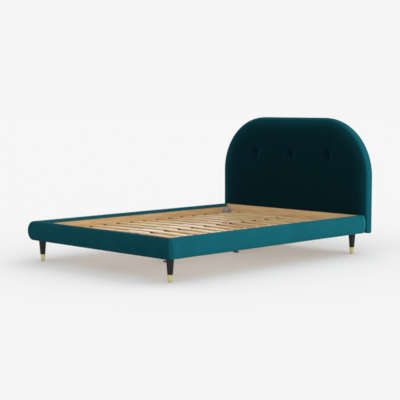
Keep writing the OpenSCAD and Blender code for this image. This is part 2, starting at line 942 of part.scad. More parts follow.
// Plugs in the tubes' open ends, threaded for the stems
module leveller_inserts() {
    color([0.1, 0.1, 0.1]) for (side = [-1, 1]) centre_leg_place(side) difference() {
        union() {
            translate([0, 0, tube_clear - insert_flange]) cylinder(d = tube_d, h = insert_flange);
            translate([0, 0, tube_clear - eps])
                cylinder(r = tube_d / 2 - tube_wall - fit_clear, h = insert_h + eps);
        }
        translate([0, 0, tube_clear - insert_flange - eps])
            cylinder(r = stem_bore_r, h = insert_flange + insert_h + 2 * eps);
    }
}

// Stem with a hexagon to turn it by and a bevel as high as its thread's pitch at the top
module leveller_stem(side) {
    foot = pad_floor + seat_gap;
    bevel_z = stem_top - stem_pitch;
    color("silver") centre_leg_place(side) {
        translate([0, 0, foot]) cylinder(d = stem_d, h = bevel_z - foot);
        translate([0, 0, bevel_z]) cylinder(d1 = stem_d, d2 = stem_d - stem_pitch, h = stem_pitch);
        translate([0, 0, pad_t + seat_gap]) cylinder(r = hex_af / 2 / cos(30), h = hex_t, $fn = 6);
    }
}

module leveller_stem_front() { leveller_stem(-1); }
module leveller_stem_rear() { leveller_stem(1); }

// Disc with a bevelled upper edge and a socket for the stem
module leveller_pad(side) {
    bevel = pad_t / 3;
    color([0.1, 0.1, 0.1]) centre_leg_place(side) rotate_extrude() polygon([
        [0, 0],
        [pad_r, 0],
        [pad_r, pad_t - bevel],
        [pad_r - bevel, pad_t],
        [stem_bore_r, pad_t],
        [stem_bore_r, pad_floor],
        [0, pad_floor]
    ]);
}

module leveller_pad_front() { leveller_pad(-1); }
module leveller_pad_rear() { leveller_pad(1); }

headboard_panel();
headboard_rim();
headboard_uprights();
headboard_bottom_rail();
headboard_foam();
headboard_cover();
headboard_back_cloth();
headboard_buttons();
button_ties();
side_rail_board_left();
side_rail_board_right();
side_rail_foam_left();
side_rail_foam_right();
side_rail_cover_left();
side_rail_cover_right();
foot_rail_board();
foot_rail_foam();
foot_rail_cover();
head_rail_board();
corner_blocks();
leg_foot_left();
leg_foot_right();
leg_head_left();
leg_head_right();
leg_ferrules();
leg_glides();
hanger_bolts();
slat_ledge_left();
slat_ledge_right();
ledge_screws();
corner_brackets();
headboard_bolts();
tee_nuts();
centre_rail();
centre_rail_hangers();
plate_screws();
centre_leg_front();
centre_leg_rear();
leveller_inserts();
leveller_stem_front();
leveller_stem_rear();
leveller_pad_front();
leveller_pad_rear();
slat_holders();
slat_saddles();
for (i = [0 : slat_count - 1])
    slat(i);
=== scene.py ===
import math
import random

import bmesh
import bpy
from mathutils import Matrix, Vector, geometry, noise


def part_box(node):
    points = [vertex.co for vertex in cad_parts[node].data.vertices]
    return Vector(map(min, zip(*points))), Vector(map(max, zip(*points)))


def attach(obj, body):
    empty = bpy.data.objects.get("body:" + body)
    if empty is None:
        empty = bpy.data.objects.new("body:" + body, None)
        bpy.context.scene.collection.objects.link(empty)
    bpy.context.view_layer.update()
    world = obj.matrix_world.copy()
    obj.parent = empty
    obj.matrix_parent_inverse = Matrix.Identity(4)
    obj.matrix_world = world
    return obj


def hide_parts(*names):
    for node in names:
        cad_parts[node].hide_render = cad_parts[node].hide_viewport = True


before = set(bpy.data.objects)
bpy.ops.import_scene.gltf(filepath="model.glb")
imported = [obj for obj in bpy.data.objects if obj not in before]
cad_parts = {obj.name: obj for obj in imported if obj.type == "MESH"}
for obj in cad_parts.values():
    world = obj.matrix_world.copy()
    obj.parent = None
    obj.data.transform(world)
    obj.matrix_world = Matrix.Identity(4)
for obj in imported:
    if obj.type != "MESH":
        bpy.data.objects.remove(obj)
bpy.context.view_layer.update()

scene = bpy.context.scene
scene.world = scene.world or bpy.data.worlds.new("studio")
scene.view_settings.view_transform = "Standard"


def colour(hexText):
    # sRGB hex to linear
    parts = [int(hexText[i:i + 2], 16) / 255 for i in (1, 3, 5)]
    return [c / 12.92 if c <= 0.04045 else ((c + 0.055) / 1.055) ** 2.4 for c in parts] + [1]


def feed(node, inputs):
    # inputs are values, sockets, or nodes that feed by their first output, by name or number
    for name, value in inputs.items():
        if isinstance(value, bpy.types.Node):
            value = value.outputs[0]
        if isinstance(value, bpy.types.NodeSocket):
            node.id_data.links.new(value, node.inputs[name])
        else:
            node.inputs[name].default_value = value
    return node


def addNode(tree, kind, inputs=None, **settings):
    node = tree.nodes.new(kind)
    for name, value in settings.items():
        setattr(node, name, value)
    return feed(node, inputs or {})


def addObject(name, data):
    thing = bpy.data.objects.new(name, data)
    scene.collection.objects.link(thing)
    return thing


# The camera, at the photo's view

camera = {"place": (5.845, -5.867, 1.1725), "turn": 45.10, "tilt": 5.07, "lens": 97.69}
lens = bpy.data.cameras.new("camera")
lens.lens = camera["lens"]
lens.clip_end = 200
scene.camera = addObject("camera", lens)
scene.camera.location = camera["place"]
scene.camera.rotation_euler = math.radians(90 - camera["tilt"]), 0, math.radians(camera["turn"])
print("camera placed")

# Materials


def startMaterial(name, surface):
    # a new material with its shader's own sockets set, and what adds a node to it
    material = bpy.data.materials.new(name)
    material.use_nodes = True
    tree = material.node_tree
    shader = feed(tree.nodes["Principled BSDF"], surface)

    def add(kind, inputs=None, **settings):
        return addNode(tree, "ShaderNode" + kind, inputs, **settings)

    return material, shader, add, add("TexCoord").outputs["Object"]


def layColours(add, base, *layers):
    # each colour covers what is below it as much as its pattern says; where a layer has limits,
    # it covers from least to most as the pattern runs from low to high
    for hexText, share, *limits in layers:
        if limits:
            share = add("MapRange", {0: share, **dict(enumerate(limits, 1))})
        base = add("Mix", {0: share, 6: base, 7: colour(hexText)}, data_type="RGBA").outputs[2]
    return base


# the velvet's base colours: painted shade, painted light and a painted highlight, which stand in for how the
# light falls on each face
velvetLook = {"painted shade": "#020E16", "painted light": "#17707D", "painted highlight": "#45A6AE",
              "edge sheen": "#2C8E98", "patch size": 0.16, "pile clump": 0.0028}


def cottonVelvet():
    # Short-pile cotton velvet: matt and deep seen face on, paler where the pile is seen from its side; its
    # base colour runs from painted shade through painted light to a painted highlight, as each piece's
    # painted light level says
    material, shader, add, place = startMaterial("cottonVelvet", {
        "Roughness": 0.95, "Sheen Weight": 0.12, "Sheen Roughness": 0.3,
        "Sheen Tint": colour(velvetLook["edge sheen"]), "Specular IOR Level": 0.03})
    brushed = add("Mapping", {"Vector": place, "Scale": (1, 1, 0.55)})
    patches = add("TexNoise", {"Vector": brushed, "Scale": 1 / velvetLook["patch size"], "Detail": 2.5,
                               "Roughness": 0.45, "Distortion": 0.6})
    # the pile is about 0.3 mm deep: its clumps are drawn larger so that they show
    clumps = add("TexNoise", {"Vector": place, "Scale": 1 / velvetLook["pile clump"], "Detail": 3})
    shift = add("Math", {0: add("MapRange", {0: patches, 1: 0.3, 2: 0.7, 3: 0.93, 4: 1.07}),
                         1: add("MapRange", {0: clumps, 1: 0.25, 2: 0.75, 3: 0.92, 4: 1.08})},
                operation="MULTIPLY")
    # each piece's painted light level, varied by the random patches and clumps of tone
    nap = add("Attribute", attribute_name="nap").outputs["Fac"]
    lightLevel = add("Math", {0: nap, 1: shift}, operation="MULTIPLY")
    # painted shade at 0, painted light at 1, painted highlight from 1 to 1.6
    tint = layColours(add, colour(velvetLook["painted shade"]),
                      (velvetLook["painted light"], lightLevel, 0, 1, 0, 1),
                      (velvetLook["painted highlight"], lightLevel, 1, 1.6, 0, 1))
    bump = add("Bump", {"Height": clumps, "Strength": 0.35, "Distance": 0.0006})
    feed(shader, {"Base Color": tint, "Normal": bump})
    return material


def sandedPlywood(name, through):
    # Birch plywood with a sanded face: long mild grain on the faces, thin plies on the edges
    material, shader, add, place = startMaterial(name, {"Roughness": 0.62, "Specular IOR Level": 0.35})
    axis = "XYZ".index(through)
    along = [0.9, 0.9, 9.0]
    along[axis] = 9.0
    grain = add("TexNoise", {"Vector": add("Mapping", {"Vector": place, "Scale": along}), "Scale": 6,
                             "Detail": 6, "Roughness": 0.6, "Distortion": 0.9})
    fine = add("Mapping", {"Vector": place, "Scale": [s * 14 for s in along]})
    pores = add("TexNoise", {"Vector": fine, "Scale": 8, "Detail": 3})
    face = layColours(add, colour("#D9B98A"), ("#C79F6C", grain, 0.35, 0.65, 0, 1),
                      ("#9A7445", pores, 0.55, 0.8, 0, 0.35))
    # plies 1.5 mm thick, light and dark in turn
    depth = add("SeparateXYZ", {0: place}).outputs[axis]
    ply = add("Math", {0: add("Math", {0: depth, 1: 2 * math.pi / 0.003}, operation="MULTIPLY")},
              operation="SINE")
    edge = layColours(add, colour("#B78B57"), ("#8C6437", ply, -0.25, 0.25, 0, 1))
    facing = add("SeparateXYZ", {0: add("NewGeometry").outputs["Normal"]}).outputs[axis]
    isFace = add("Math", {0: add("Math", {0: facing}, operation="ABSOLUTE"), 1: 0.6},
                 operation="GREATER_THAN")
    tint = add("Mix", {0: isFace, 6: edge, 7: face}, data_type="RGBA").outputs[2]
    feed(shader, {"Base Color": tint, "Normal": add("Bump", {"Height": pores, "Strength": 0.2,
                                                             "Distance": 0.0003})})
    return material


def planedPine(name, along):
    # Planed pine: pale wood with warm rings run out along the length, and a few small knots
    material, shader, add, place = startMaterial(name, {"Roughness": 0.55, "Specular IOR Level": 0.4})
    scale = [14.0, 14.0, 14.0]
    scale["XYZ".index(along)] = 0.7
    ringPlace, fibrePlace, knotPlace = (
        add("Mapping", {"Vector": place, "Scale": [s * times + more for s in scale]})
        for times, more in ((1, 0), (12, 0), (1 / 6, 1)))
    rings = add("TexWave", {"Vector": ringPlace, "Scale": 1.6, "Distortion": 5.5, "Detail": 2.5,
                            "Detail Scale": 0.8},
                wave_type="BANDS", bands_direction="DIAGONAL").outputs["Fac"]
    fibres = add("TexNoise", {"Vector": fibrePlace, "Scale": 3, "Detail": 3})
    knots = add("TexVoronoi", {"Vector": knotPlace, "Scale": 2.1}).outputs["Distance"]
    wood = layColours(add, colour("#E6C896"), ("#C99657", rings, 0.25, 0.95, 0, 1),
                      ("#B8864A", fibres, 0.3, 0.8, 0, 0.3), ("#6E4422", knots, 0.03, 0.055, 0.75, 0))
    feed(shader, {"Base Color": wood, "Normal": add("Bump", {"Height": fibres, "Strength": 0.25,
                                                             "Distance": 0.0003})})
    return material


slatNames = sorted(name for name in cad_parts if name.startswith("slat_") and name[5:].isdigit())
firstSlat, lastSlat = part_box(slatNames[0]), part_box(slatNames[-1])
slat = {"Half length": firstSlat[1].x, "Width": firstSlat[1].y - firstSlat[0].y, "Thickness": 0.010,
        "Rise": 0.014, "Edge radius": 0.0035, "Count": len(slatNames), "Underside": firstSlat[0].z,
        "First": (firstSlat[0].y + firstSlat[1].y) / 2, "Seed": 4,
        "Pitch": (lastSlat[0].y - firstSlat[0].y) / (len(slatNames) - 1)}


def lacqueredBirch():
    # Bent laminated birch under clear lacquer: fine straight grain, a soft gloss, glue lines on the edges
    material, shader, add, place = startMaterial("lacqueredBirch", {
        "Roughness": 0.38, "Coat Weight": 0.25, "Coat Roughness": 0.25})
    stretched = add("Mapping", {"Vector": place, "Scale": (0.8, 22, 22)})
    grain = add("TexNoise", {"Vector": stretched, "Scale": 5, "Detail": 5, "Distortion": 0.4})
    perSlat = add("Attribute", attribute_name="tone").outputs["Fac"]
    wood = layColours(add, colour("#EBD3A4"), ("#D2AF76", grain, 0.3, 0.7, 0, 1), ("#C79C62", perSlat))
    facing = add("SeparateXYZ", {0: add("NewGeometry").outputs["Normal"]}).outputs[1]
    isEdge = add("Math", {0: add("Math", {0: facing}, operation="ABSOLUTE"), 1: 0.8},
                 operation="GREATER_THAN")
    # six glue lines follow the bend, through the slat's 10 mm
    parts = add("SeparateXYZ", {0: place}).outputs
    square = add("Math", {0: parts[0], 1: 2.0}, operation="POWER")
    bend = add("Math", {0: square, 1: slat["Rise"] / slat["Half length"] ** 2, 2: parts[2]},
               operation="MULTIPLY_ADD")
    line = add("Math", {0: add("Math", {0: bend, 1: 2 * math.pi * 600}, operation="MULTIPLY")},
               operation="SINE")
    edge = layColours(add, wood, ("#9C7240", line, 0.5, 0.9, 0, 0.8))
    tint = add("Mix", {0: isEdge, 6: wood, 7: edge}, data_type="RGBA").outputs[2]
    feed(shader, {"Base Color": tint, "Normal": add("Bump", {"Height": grain, "Strength": 0.1,
                                                             "Distance": 0.0003})})
    return material


def streaked(name, surface, dark, light, stretch, scale, limits, roughness, bump):
    # A finish with fine streaks one way, in its colour and in its gloss
    material, shader, add, place = startMaterial(name, surface)
    stretched = add("Mapping", {"Vector": place, "Scale": stretch})
    streaks = add("TexNoise", {"Vector": stretched, "Scale": scale, "Detail": 4})
    gloss = add("MapRange", {0: streaks, 1: 0.3, 2: 0.7, 3: roughness[0], 4: roughness[1]})
    raised = add("Bump", {"Height": streaks, "Strength": bump[0], "Distance": bump[1]})
    tint = layColours(add, colour(dark), (light, streaks, *limits))
    feed(shader, {"Base Color": tint, "Roughness": gloss, "Normal": raised})
    return material


def speckled(name, dark, light, grainSize, surface, bumpDepth):
    # A finish whose colour and surface vary in small grains
    material, shader, add, place = startMaterial(name, surface)
    grains = add("TexNoise", {"Vector": place, "Scale": 1 / grainSize, "Detail": 3})
    wide = add("TexNoise", {"Vector": place, "Scale": 14, "Detail": 2})
    share = add("Math", {0: add("MapRange", {0: grains, 1: 0.3, 2: 0.7, 4: 0.6}),
                         1: add("MapRange", {0: wide, 1: 0.35, 2: 0.65, 4: 0.4})})
    base = surface["Roughness"]
    gloss = add("MapRange", {0: wide, 1: 0.3, 2: 0.7, 3: base - 0.06, 4: base + 0.06})
    bump = add("Bump", {"Height": grains, "Strength": 0.3, "Distance": bumpDepth})
    feed(shader, {"Base Color": layColours(add, colour(dark), (light, share)), "Roughness": gloss,
                  "Normal": bump})
    return material


velvet = cottonVelvet()
# Turned beech, stained nearly black and finished satin: grain shows only as faint streaks
beech = streaked("stainedBeech", {"Specular IOR Level": 0.1}, "#292829", "#343131", stretch=(60, 60, 4),
                 scale=6, limits=(0.35, 0.75, 0, 1), roughness=(0.32, 0.46), bump=(0.15, 0.0002))
# Brushed brass under lacquer: pale yellow, with fine marks round the ferrule
brass = streaked("lacqueredBrass", {"Metallic": 1.0}, "#E9E0A8", "#DACC8C", stretch=(3, 3, 900),
                 scale=2, limits=(), roughness=(0.22, 0.38), bump=(0.05, 0.0001))
# Moulded nylon: near black, dull, with a fine moulded skin
nylon = speckled("mouldedNylon", "#131313", "#1F1F1F", 0.0011, {"Roughness": 0.55}, 0.0001)
# Moulded polypropylene: dark grey with a slight waxy gloss and spark-textured skin
polypropylene = speckled("mouldedPolypropylene", "#1E1F21", "#2C2D30", 0.0009, {"Roughness": 0.45}, 0.0001)
# Powder coat on steel: black with a fine orange-peel surface
powderCoat = speckled("powderCoatedSteel", "#0E0E0F", "#1B1B1D", 0.0016, {"Roughness": 0.42}, 0.0002)
# Bright zinc plate: cool grey metal, slightly cloudy
zinc = speckled("zincPlatedSteel", "#A9ADB3", "#D3D6DA", 0.004, {"Metallic": 1.0, "Roughness": 0.34}, 0.00005)
# Spunbond polypropylene lining: black, matt, with a dimpled felt-like surface
liningCloth = speckled("spunbondLining", "#0F0F10", "#222224", 0.0022,
                       {"Roughness": 0.95, "Sheen Weight": 0.15}, 0.0004)
# Waxed twine: off-white and fibrous
twine = speckled("waxedTwine", "#B9B4A2", "#DAD5C6", 0.0008, {"Roughness": 0.6}, 0.0001)

finishes = {
    sandedPlywood("sandedPlywoodSide", "X"): ["side_rail_board_left", "side_rail_board_right"],
    sandedPlywood("sandedPlywoodCross", "Y"): ["foot_rail_board", "head_rail_board", "headboard_panel"],
    planedPine("planedPineLong", "Y"): ["slat_ledge_left", "slat_ledge_right", "centre_rail"],
    planedPine("planedPineCross", "X"): ["corner_blocks", "headboard_bottom_rail", "headboard_rim",
                                         "headboard_uprights"],
    zinc: ["hanger_bolts", "headboard_bolts", "tee_nuts", "centre_rail_hangers", "corner_brackets",
           "ledge_screws", "plate_screws", "leveller_stem_front", "leveller_stem_rear"],
    nylon: ["leg_glides", "leveller_inserts", "leveller_pad_front", "leveller_pad_rear"],
    powderCoat: ["centre_leg_front", "centre_leg_rear"],
    polypropylene: ["slat_holders", "slat_saddles"],
    lacqueredBirch(): slatNames,
    beech: ["leg_foot_left", "leg_foot_right", "leg_head_left", "leg_head_right"],
    brass: ["leg_ferrules"],
    twine: ["button_ties"],
}
finishOf = {name: material for material, names in finishes.items() for name in names}
for name, material in finishOf.items():
    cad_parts[name].data.materials.clear()
    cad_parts[name].data.materials.append(material)
print("materials made")

# What every piece is made with

tooClose = 2e-6  # points nearer than this are one


def pieceName(node):
    first, *others = node.split("_")
    return first + "".join(word.capitalize() for word in others)


def standFor(piece, *nodes, body="frame"):
    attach(piece, body)
    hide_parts(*nodes)
    return piece


def makeMesh(name, points, faces=(), edges=()):
    mesh = bpy.data.meshes.new(name)
    mesh.from_pydata([tuple(p) for p in points], list(edges), [tuple(f) for f in faces])
    return mesh


def solidMesh(name, points, faces):
    # doubles merged, and faces outwards
    mesh, work = makeMesh(name, points, faces), bmesh.new()
    work.from_mesh(mesh)
    bmesh.ops.remove_doubles(work, verts=work.verts, dist=tooClose)
    bmesh.ops.recalc_face_normals(work, faces=work.faces)
    work.to_mesh(mesh)
    work.free()
    return mesh


def finishPiece(mesh, material, sharpAt=180):
    # one closed smooth skin facing outwards, with edges sharper than sharpAt degrees kept crisp
    work = bmesh.new()
    work.from_mesh(mesh)
    bmesh.ops.remove_doubles(work, verts=work.verts, dist=tooClose)
    bmesh.ops.dissolve_degenerate(work, edges=work.edges, dist=tooClose / 2)
    bmesh.ops.triangulate(work, faces=[f for f in work.faces if len(f.verts) > 4])
    bmesh.ops.recalc_face_normals(work, faces=work.faces)
    for face in work.faces:
        face.smooth = True
    for edge in work.edges:
        edge.smooth = not (edge.is_manifold and edge.calc_face_angle(0) > math.radians(sharpAt))
    work.to_mesh(mesh)
    work.free()
    mesh.materials.clear()
    mesh.materials.append(material)
    return addObject(mesh.name, mesh)


def newPiece(name, points, faces, material, sharpAt=180, nap=None):
    mesh = makeMesh(name, points, faces)
    if nap:
        mesh.attributes.new("nap", "FLOAT", "POINT").data.foreach_set("value", nap)
    return finishPiece(mesh, material, sharpAt)


def ringFaces(rows, count, start=0, closed=False):
    # quads between rows of points, and from the last row to the first where it is closed
    faces = []
    for row in range(rows if closed else rows - 1):
        for i in range(count):
            a, b = row * count + i, row * count + (i + 1) % count
            faces.append([start + k % (rows * count) for k in (a, b, b + count, a + count)])
    return faces


def tubeFaces(rows, count):
    return ringFaces(rows, count) + [range(count), range((rows - 1) * count, rows * count)]


def arc(steps, turn=math.pi / 2, first=0):
    return [turn * i / steps for i in range(first, steps + 1)]


def smoothStep(low, high, value):
    t = min(1, max(0, (value - low) / (high - low)))
    return t * t * (3 - 2 * t)


def bell(value, middle, width):
    return math.exp(-((value - middle) / width) ** 2)


# Headboard: padded front, side band and turn-in as one skin

headboard = {
    "shoulder radius": 0.460, "corner radius": 0.009, "edge radius": 0.022, "crown": 0.008,
    "crown reach": 0.110, "back edge radius": 0.012, "side swell": 0.0012, "turn-in": 0.040,
    "seam from edge": 0.027, "seam depth": 0.0016, "seam width": 0.0016, "groove from seam": 0.0042,
    "groove depth": 0.0006, "groove width": 0.0026, "mesh size": 0.0085, "fine mesh": 0.0032,
    # rows of points, by their distance in from the edge: close together over the seam
    "front rows": (0.0195, 0.022, 0.0235, 0.0248, 0.0258, 0.0265, 0.0272, 0.028, 0.0292, 0.031, 0.035,
                   0.041, 0.049, 0.058),
    "button spacing": 0.390, "button height": 0.757,
    "tuft depth": 0.020, "tuft floor": 0.0155, "tuft radius": 0.062, "tuft reach": 0.15,
    "creases": 11, "crease scatter": 0.28, "crease length": (0.040, 0.062), "upright longer": 0.022,
    "crease depth": (0.0012, 0.0026), "upright deeper": 0.0010, "seed": 8,
}
# painted light and shade on the headboard's velvet, 0 the deepest painted shade and 1 painted light: painted
# shade on the front with a painted highlight towards its edge, painted light on the side band and less on the
# top band, and painted shade and highlights at the tufts
headboardLitShade = {"front": 0.07, "front edge": 0.34, "edge reach": 0.040, "side band": 0.70, "top band": 0.44,
                 "hidden": 0.7, "tuft highlight": 0.030, "tuft shade": -0.022, "fold highlight": 0.25}
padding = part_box("headboard_cover")
halfWidth = padding[1].x
frontPlace, backPlace = padding[0].y, padding[1].y
baseHeight, topHeight = padding[0].z, padding[1].z
shoulderX = halfWidth - headboard["shoulder radius"]
shoulderZ = topHeight - headboard["shoulder radius"]
tuftSpots = [(side * headboard["button spacing"], headboard["button height"]) for side in (-1, 0, 1)]


def archLoop(inset, step=0.009):
    # the headboard's outline seen from the front, anticlockwise, drawn in by inset
    w, r = halfWidth - inset, headboard["shoulder radius"] - inset
    c = max(headboard["corner radius"] - inset, 0.0006)
    low, high = baseHeight + inset, topHeight - inset
    base, corner, side, shoulder, top = [
        round(length / step) for length in
        (halfWidth, headboard["corner radius"] * 4, shoulderZ - baseHeight,
         headboard["shoulder radius"] * math.pi / 2, shoulderX)]
    right = [((w - c) * i / base, low) for i in range(base)]
    right += [(w - c + c * math.sin(a), low + c - c * math.cos(a)) for a in arc(corner)[:-1]]
    right += [(w, low + c + (shoulderZ - low - c) * i / side) for i in range(side)]
    right += [(shoulderX + r * math.cos(a), shoulderZ + r * math.sin(a)) for a in arc(shoulder)[:-1]]
    right += [(shoulderX * (1 - i / top), high) for i in range(top + 1)]
    return right + [(-x, z) for x, z in reversed(right[1:-1])]


def fromOutline(x, z):
    # distance in from the outline, with the two bottom corners eased
    if z > shoulderZ and abs(x) > shoulderX:
        rim = headboard["shoulder radius"] - math.hypot(abs(x) - shoulderX, z - shoulderZ)
    else:
        rim = min(halfWidth - abs(x), topHeight - z)
    foot, ease = z - baseHeight, 0.03
    blend = max(0, ease - abs(rim - foot)) / ease
    return min(rim, foot) - blend * blend * ease / 4


def gridSpots(step):
    # an even triangular grid over the headboard
    up = step * 0.866
    return [(-halfWidth + (i + 0.5 * (k % 2)) * step, baseHeight + k * up)
            for k in range(int((topHeight - baseHeight) / up) + 1)
            for i in range(int(2 * halfWidth / step) + 1)]


def fillRim(rim, spots):
    # triangles over the spots inside a rim; a place that is on the rim comes with its number there
    count = len(rim)
    edges = [(i, (i + 1) % count) for i in range(count)]
    places, _, cells, sources, _, _ = geometry.delaunay_2d_cdt(
        [Vector(p) for p in rim + spots], edges, [], 1, 1e-7)
    return places, cells, [s[0] if s and s[0] < count else None for s in sources]


creaseDraw = random.Random(headboard["seed"])
creases, scatter = [], headboard["crease scatter"]
for spot in tuftSpots:
    start = creaseDraw.uniform(0, math.pi)
    for i in range(headboard["creases"]):
        angle = start + (i + creaseDraw.uniform(-scatter, scatter)) * 2 * math.pi / headboard["creases"]
        # the fabric gathers most above and below a button, where it is pulled least
        upright = abs(math.sin(angle))
        length = creaseDraw.uniform(*headboard["crease length"]) + headboard["upright longer"] * upright
        depth = creaseDraw.uniform(*headboard["crease depth"]) + headboard["upright deeper"] * upright
        creases.append((spot, angle, length, depth))


def tuftSink(x, z):
    # how far the front is pulled in at a point, with the creases that run out of each button
    sink = 0
    for bx, bz in tuftSpots:
        away = math.hypot(x - bx, z - bz)
        floor, radius = headboard["tuft floor"], headboard["tuft radius"]
        steep = 1 - min(1, max(0, (away - floor) / (radius - floor)))
        wide = 1 - min(1, away / headboard["tuft reach"])
        sink += headboard["tuft depth"] * (0.86 * steep ** 2.1 + 0.14 * wide ** 2)
    for (bx, bz), angle, length, depth in creases:
        dx, dz = x - bx, z - bz
        run = dx * math.cos(angle) + dz * math.sin(angle)
        if 0 <= run <= length * 1.5:
            # it wanders a little and widens as it runs out, and the cloth stands up beside it
            side = -dx * math.sin(angle) + dz * math.cos(angle) + 0.002 * math.sin(run * 90 + angle * 5)
            width = 0.0022 + 0.075 * run
            fade = smoothStep(0.008, 0.019, run) * (1 - smoothStep(length * 0.45, length * 1.4, run))
            sink += depth * fade * (bell(side, 0, width) - 0.45 * bell(abs(side), 1.9 * width, 1.2 * width))
    return sink


def frontFace(x, z, inset):
    # place of the front skin along the bed, over a point that is inset from the outline
    edge, seam = headboard["edge radius"], headboard["seam from edge"]
    s = min(1, max(0, (inset - edge) / (headboard["crown reach"] - edge)))
    lift = headboard["crown"] * (1 - s) ** 2
    groove = headboard["groove depth"] * bell(inset, seam - headboard["groove from seam"],
                                              headboard["groove width"])
    lift += headboard["seam depth"] * bell(inset, seam, headboard["seam width"]) - groove
    uneven = 0.0007 * noise.noise(Vector((x * 6, z * 6, 2.0))) * smoothStep(0.03, 0.1, inset)
    return frontPlace + lift + tuftSink(x, z) + uneven


def tuftLitShade(x, z):
    # painted shade on a tuft's left, painted light on its right, and a painted highlight on the fold beside
    # the button
    shift = 0
    for bx, bz in tuftSpots:
        dx, dz = x - bx, z - bz
        away = math.hypot(dx, dz)
        if away < 0.08:
            right = smoothStep(-0.001, 0.009, dx)
            lightLevel = headboardLitShade["tuft highlight"] * right + headboardLitShade["tuft shade"] * (1 - right)
            shift += lightLevel * (1 - smoothStep(0.028, 0.078, away))
            shift += (headboardLitShade["fold highlight"] * bell(away, 0.0155, 0.0045) * smoothStep(0.006, 0.013, dx)
                      * (1 - smoothStep(0.012, 0.020, dz)))
    return shift


def headboardLightLevel(x, z, inset):
    # painted shade on the front, with a painted highlight growing towards its edge and the tufts' painted
    # light and shade; painted light on the side band, less on the top band
    look = headboardLitShade
    front = look["front"] + look["front edge"] * math.exp(-inset / look["edge reach"]) + tuftLitShade(x, z)
    up = smoothStep(shoulderZ + 0.1, topHeight - 0.02, z - 0.0001)
    up *= 1 - smoothStep(shoulderX, halfWidth, abs(x))
    band = look["side band"] + (look["top band"] - look["side band"]) * up
    return band + (front - band) * smoothStep(0.002, 0.024, inset)


def buildHeadboard():
    # rows as (inset, place along the bed); None is a place on the front face
    back, r, roll = backPlace - 0.001, headboard["edge radius"], headboard["back edge radius"]
    edgePlace = frontPlace + headboard["crown"] + r
    profile = [(headboard["turn-in"], back - 0.002), (headboard["turn-in"], back - 0.0001), (0.025, back)]
    profile += [(roll * (1 - math.sin(a)), back - roll * (1 - math.cos(a))) for a in arc(6)]
    depth = profile[-1][1] - edgePlace
    profile += [(-headboard["side swell"] * math.sin(math.pi * i / 6), profile[-1][1] - depth * i / 6)
                for i in range(1, 6)]
    profile += [(r * (1 - math.cos(a)), edgePlace - r * math.sin(a)) for a in arc(10)[:10]]
    profile += [(inset, None) for inset in headboard["front rows"]]
    places = [(x, place if place is not None else frontFace(x, z, inset), z, inset)
              for inset, place in profile for x, z in archLoop(inset)]
    points = [(x, y, z) for x, y, z, _ in places]
    # each point's painted light level
    nap = [headboardLightLevel(x, z, inset) for x, _, z, inset in places]
    count = len(archLoop(0))
    faces = ringFaces(len(profile), count)

    # the rest of the front is filled with points that are close together in the tufts
    kept, grid, box = [], {}, 0.01

    def keep(x, z, apart):
        column, row = int(x // box), int(z // box)
        near = (p for i in (-1, 0, 1) for k in (-1, 0, 1) for p in grid.get((column + i, row + k), ()))
        if (fromOutline(x, z) >= profile[-1][0] + 0.5 * apart
                and all(math.hypot(px - x, pz - z) >= apart * 0.62 for px, pz in near)):
            kept.append((x, z))
            grid.setdefault((column, row), []).append((x, z))

    fine = headboard["fine mesh"]
    for bx, bz in tuftSpots:
        keep(bx, bz, fine)
        ring = fine
        while ring < 0.095:
            gap = fine * (1 + max(0, ring - 0.035) * 18)
            steps = max(8, round(2 * math.pi * ring / gap))
            for i in range(steps):
                a = 2 * math.pi * (i + 0.5 * (round(ring / fine) % 2)) / steps
                keep(bx + ring * math.cos(a), bz + ring * math.sin(a), gap)
            ring += gap * 0.9
    for x, z in gridSpots(headboard["mesh size"]):
        keep(x, z, headboard["mesh size"])
    rimStart = len(points) - count
    filled, cells, onRim = fillRim([(x, z) for x, _, z in points[rimStart:]], kept)
    lookup = []
    for (x, z), rim in zip(filled, onRim):
        lookup.append(len(points) if rim is None else rimStart + rim)
        if rim is None:
            inset = fromOutline(x, z)
            points.append((x, frontFace(x, z, inset), z))
            nap.append(headboardLightLevel(x, z, inset))
    faces += [[lookup[i] for i in cell] for cell in cells]

    # the foam's hidden side: round the timber frame, then flat against the panel
    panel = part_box("headboard_panel")
    start = len(points)
    for place in (back - 0.002, panel[0].y):
        points += [(x, place, z) for x, z in archLoop(halfWidth - panel[1].x)]
    nap += [headboardLitShade["hidden"]] * (2 * count)
    for row, following in ((0, start), (start, start + count)):
        for i in range(count):
            j = (i + 1) % count
            faces.append((row + i, following + i, following + j, row + j))
    faces.append(range(start + count, start + 2 * count))
    return newPiece("headboardVelvet", points, faces, velvet, nap=nap)


headboardSkin = standFor(buildHeadboard(), "headboard_cover", "headboard_foam")
print("headboard padded:", len(headboardSkin.data.vertices), "points")

# Buttons: velvet gathered over a dome, in the floor of each tuft

# the last two values are painted light levels: painted shade over each button, and a painted highlight on its
# right-hand flank
button = {"radius": 0.014, "depth": 0.008, "hem": 0.0012, "pleats": 12, "pleat": 0.00035, "rings": 9,
          "around": 36, "pile": 0.055, "flank highlight": 0.25}


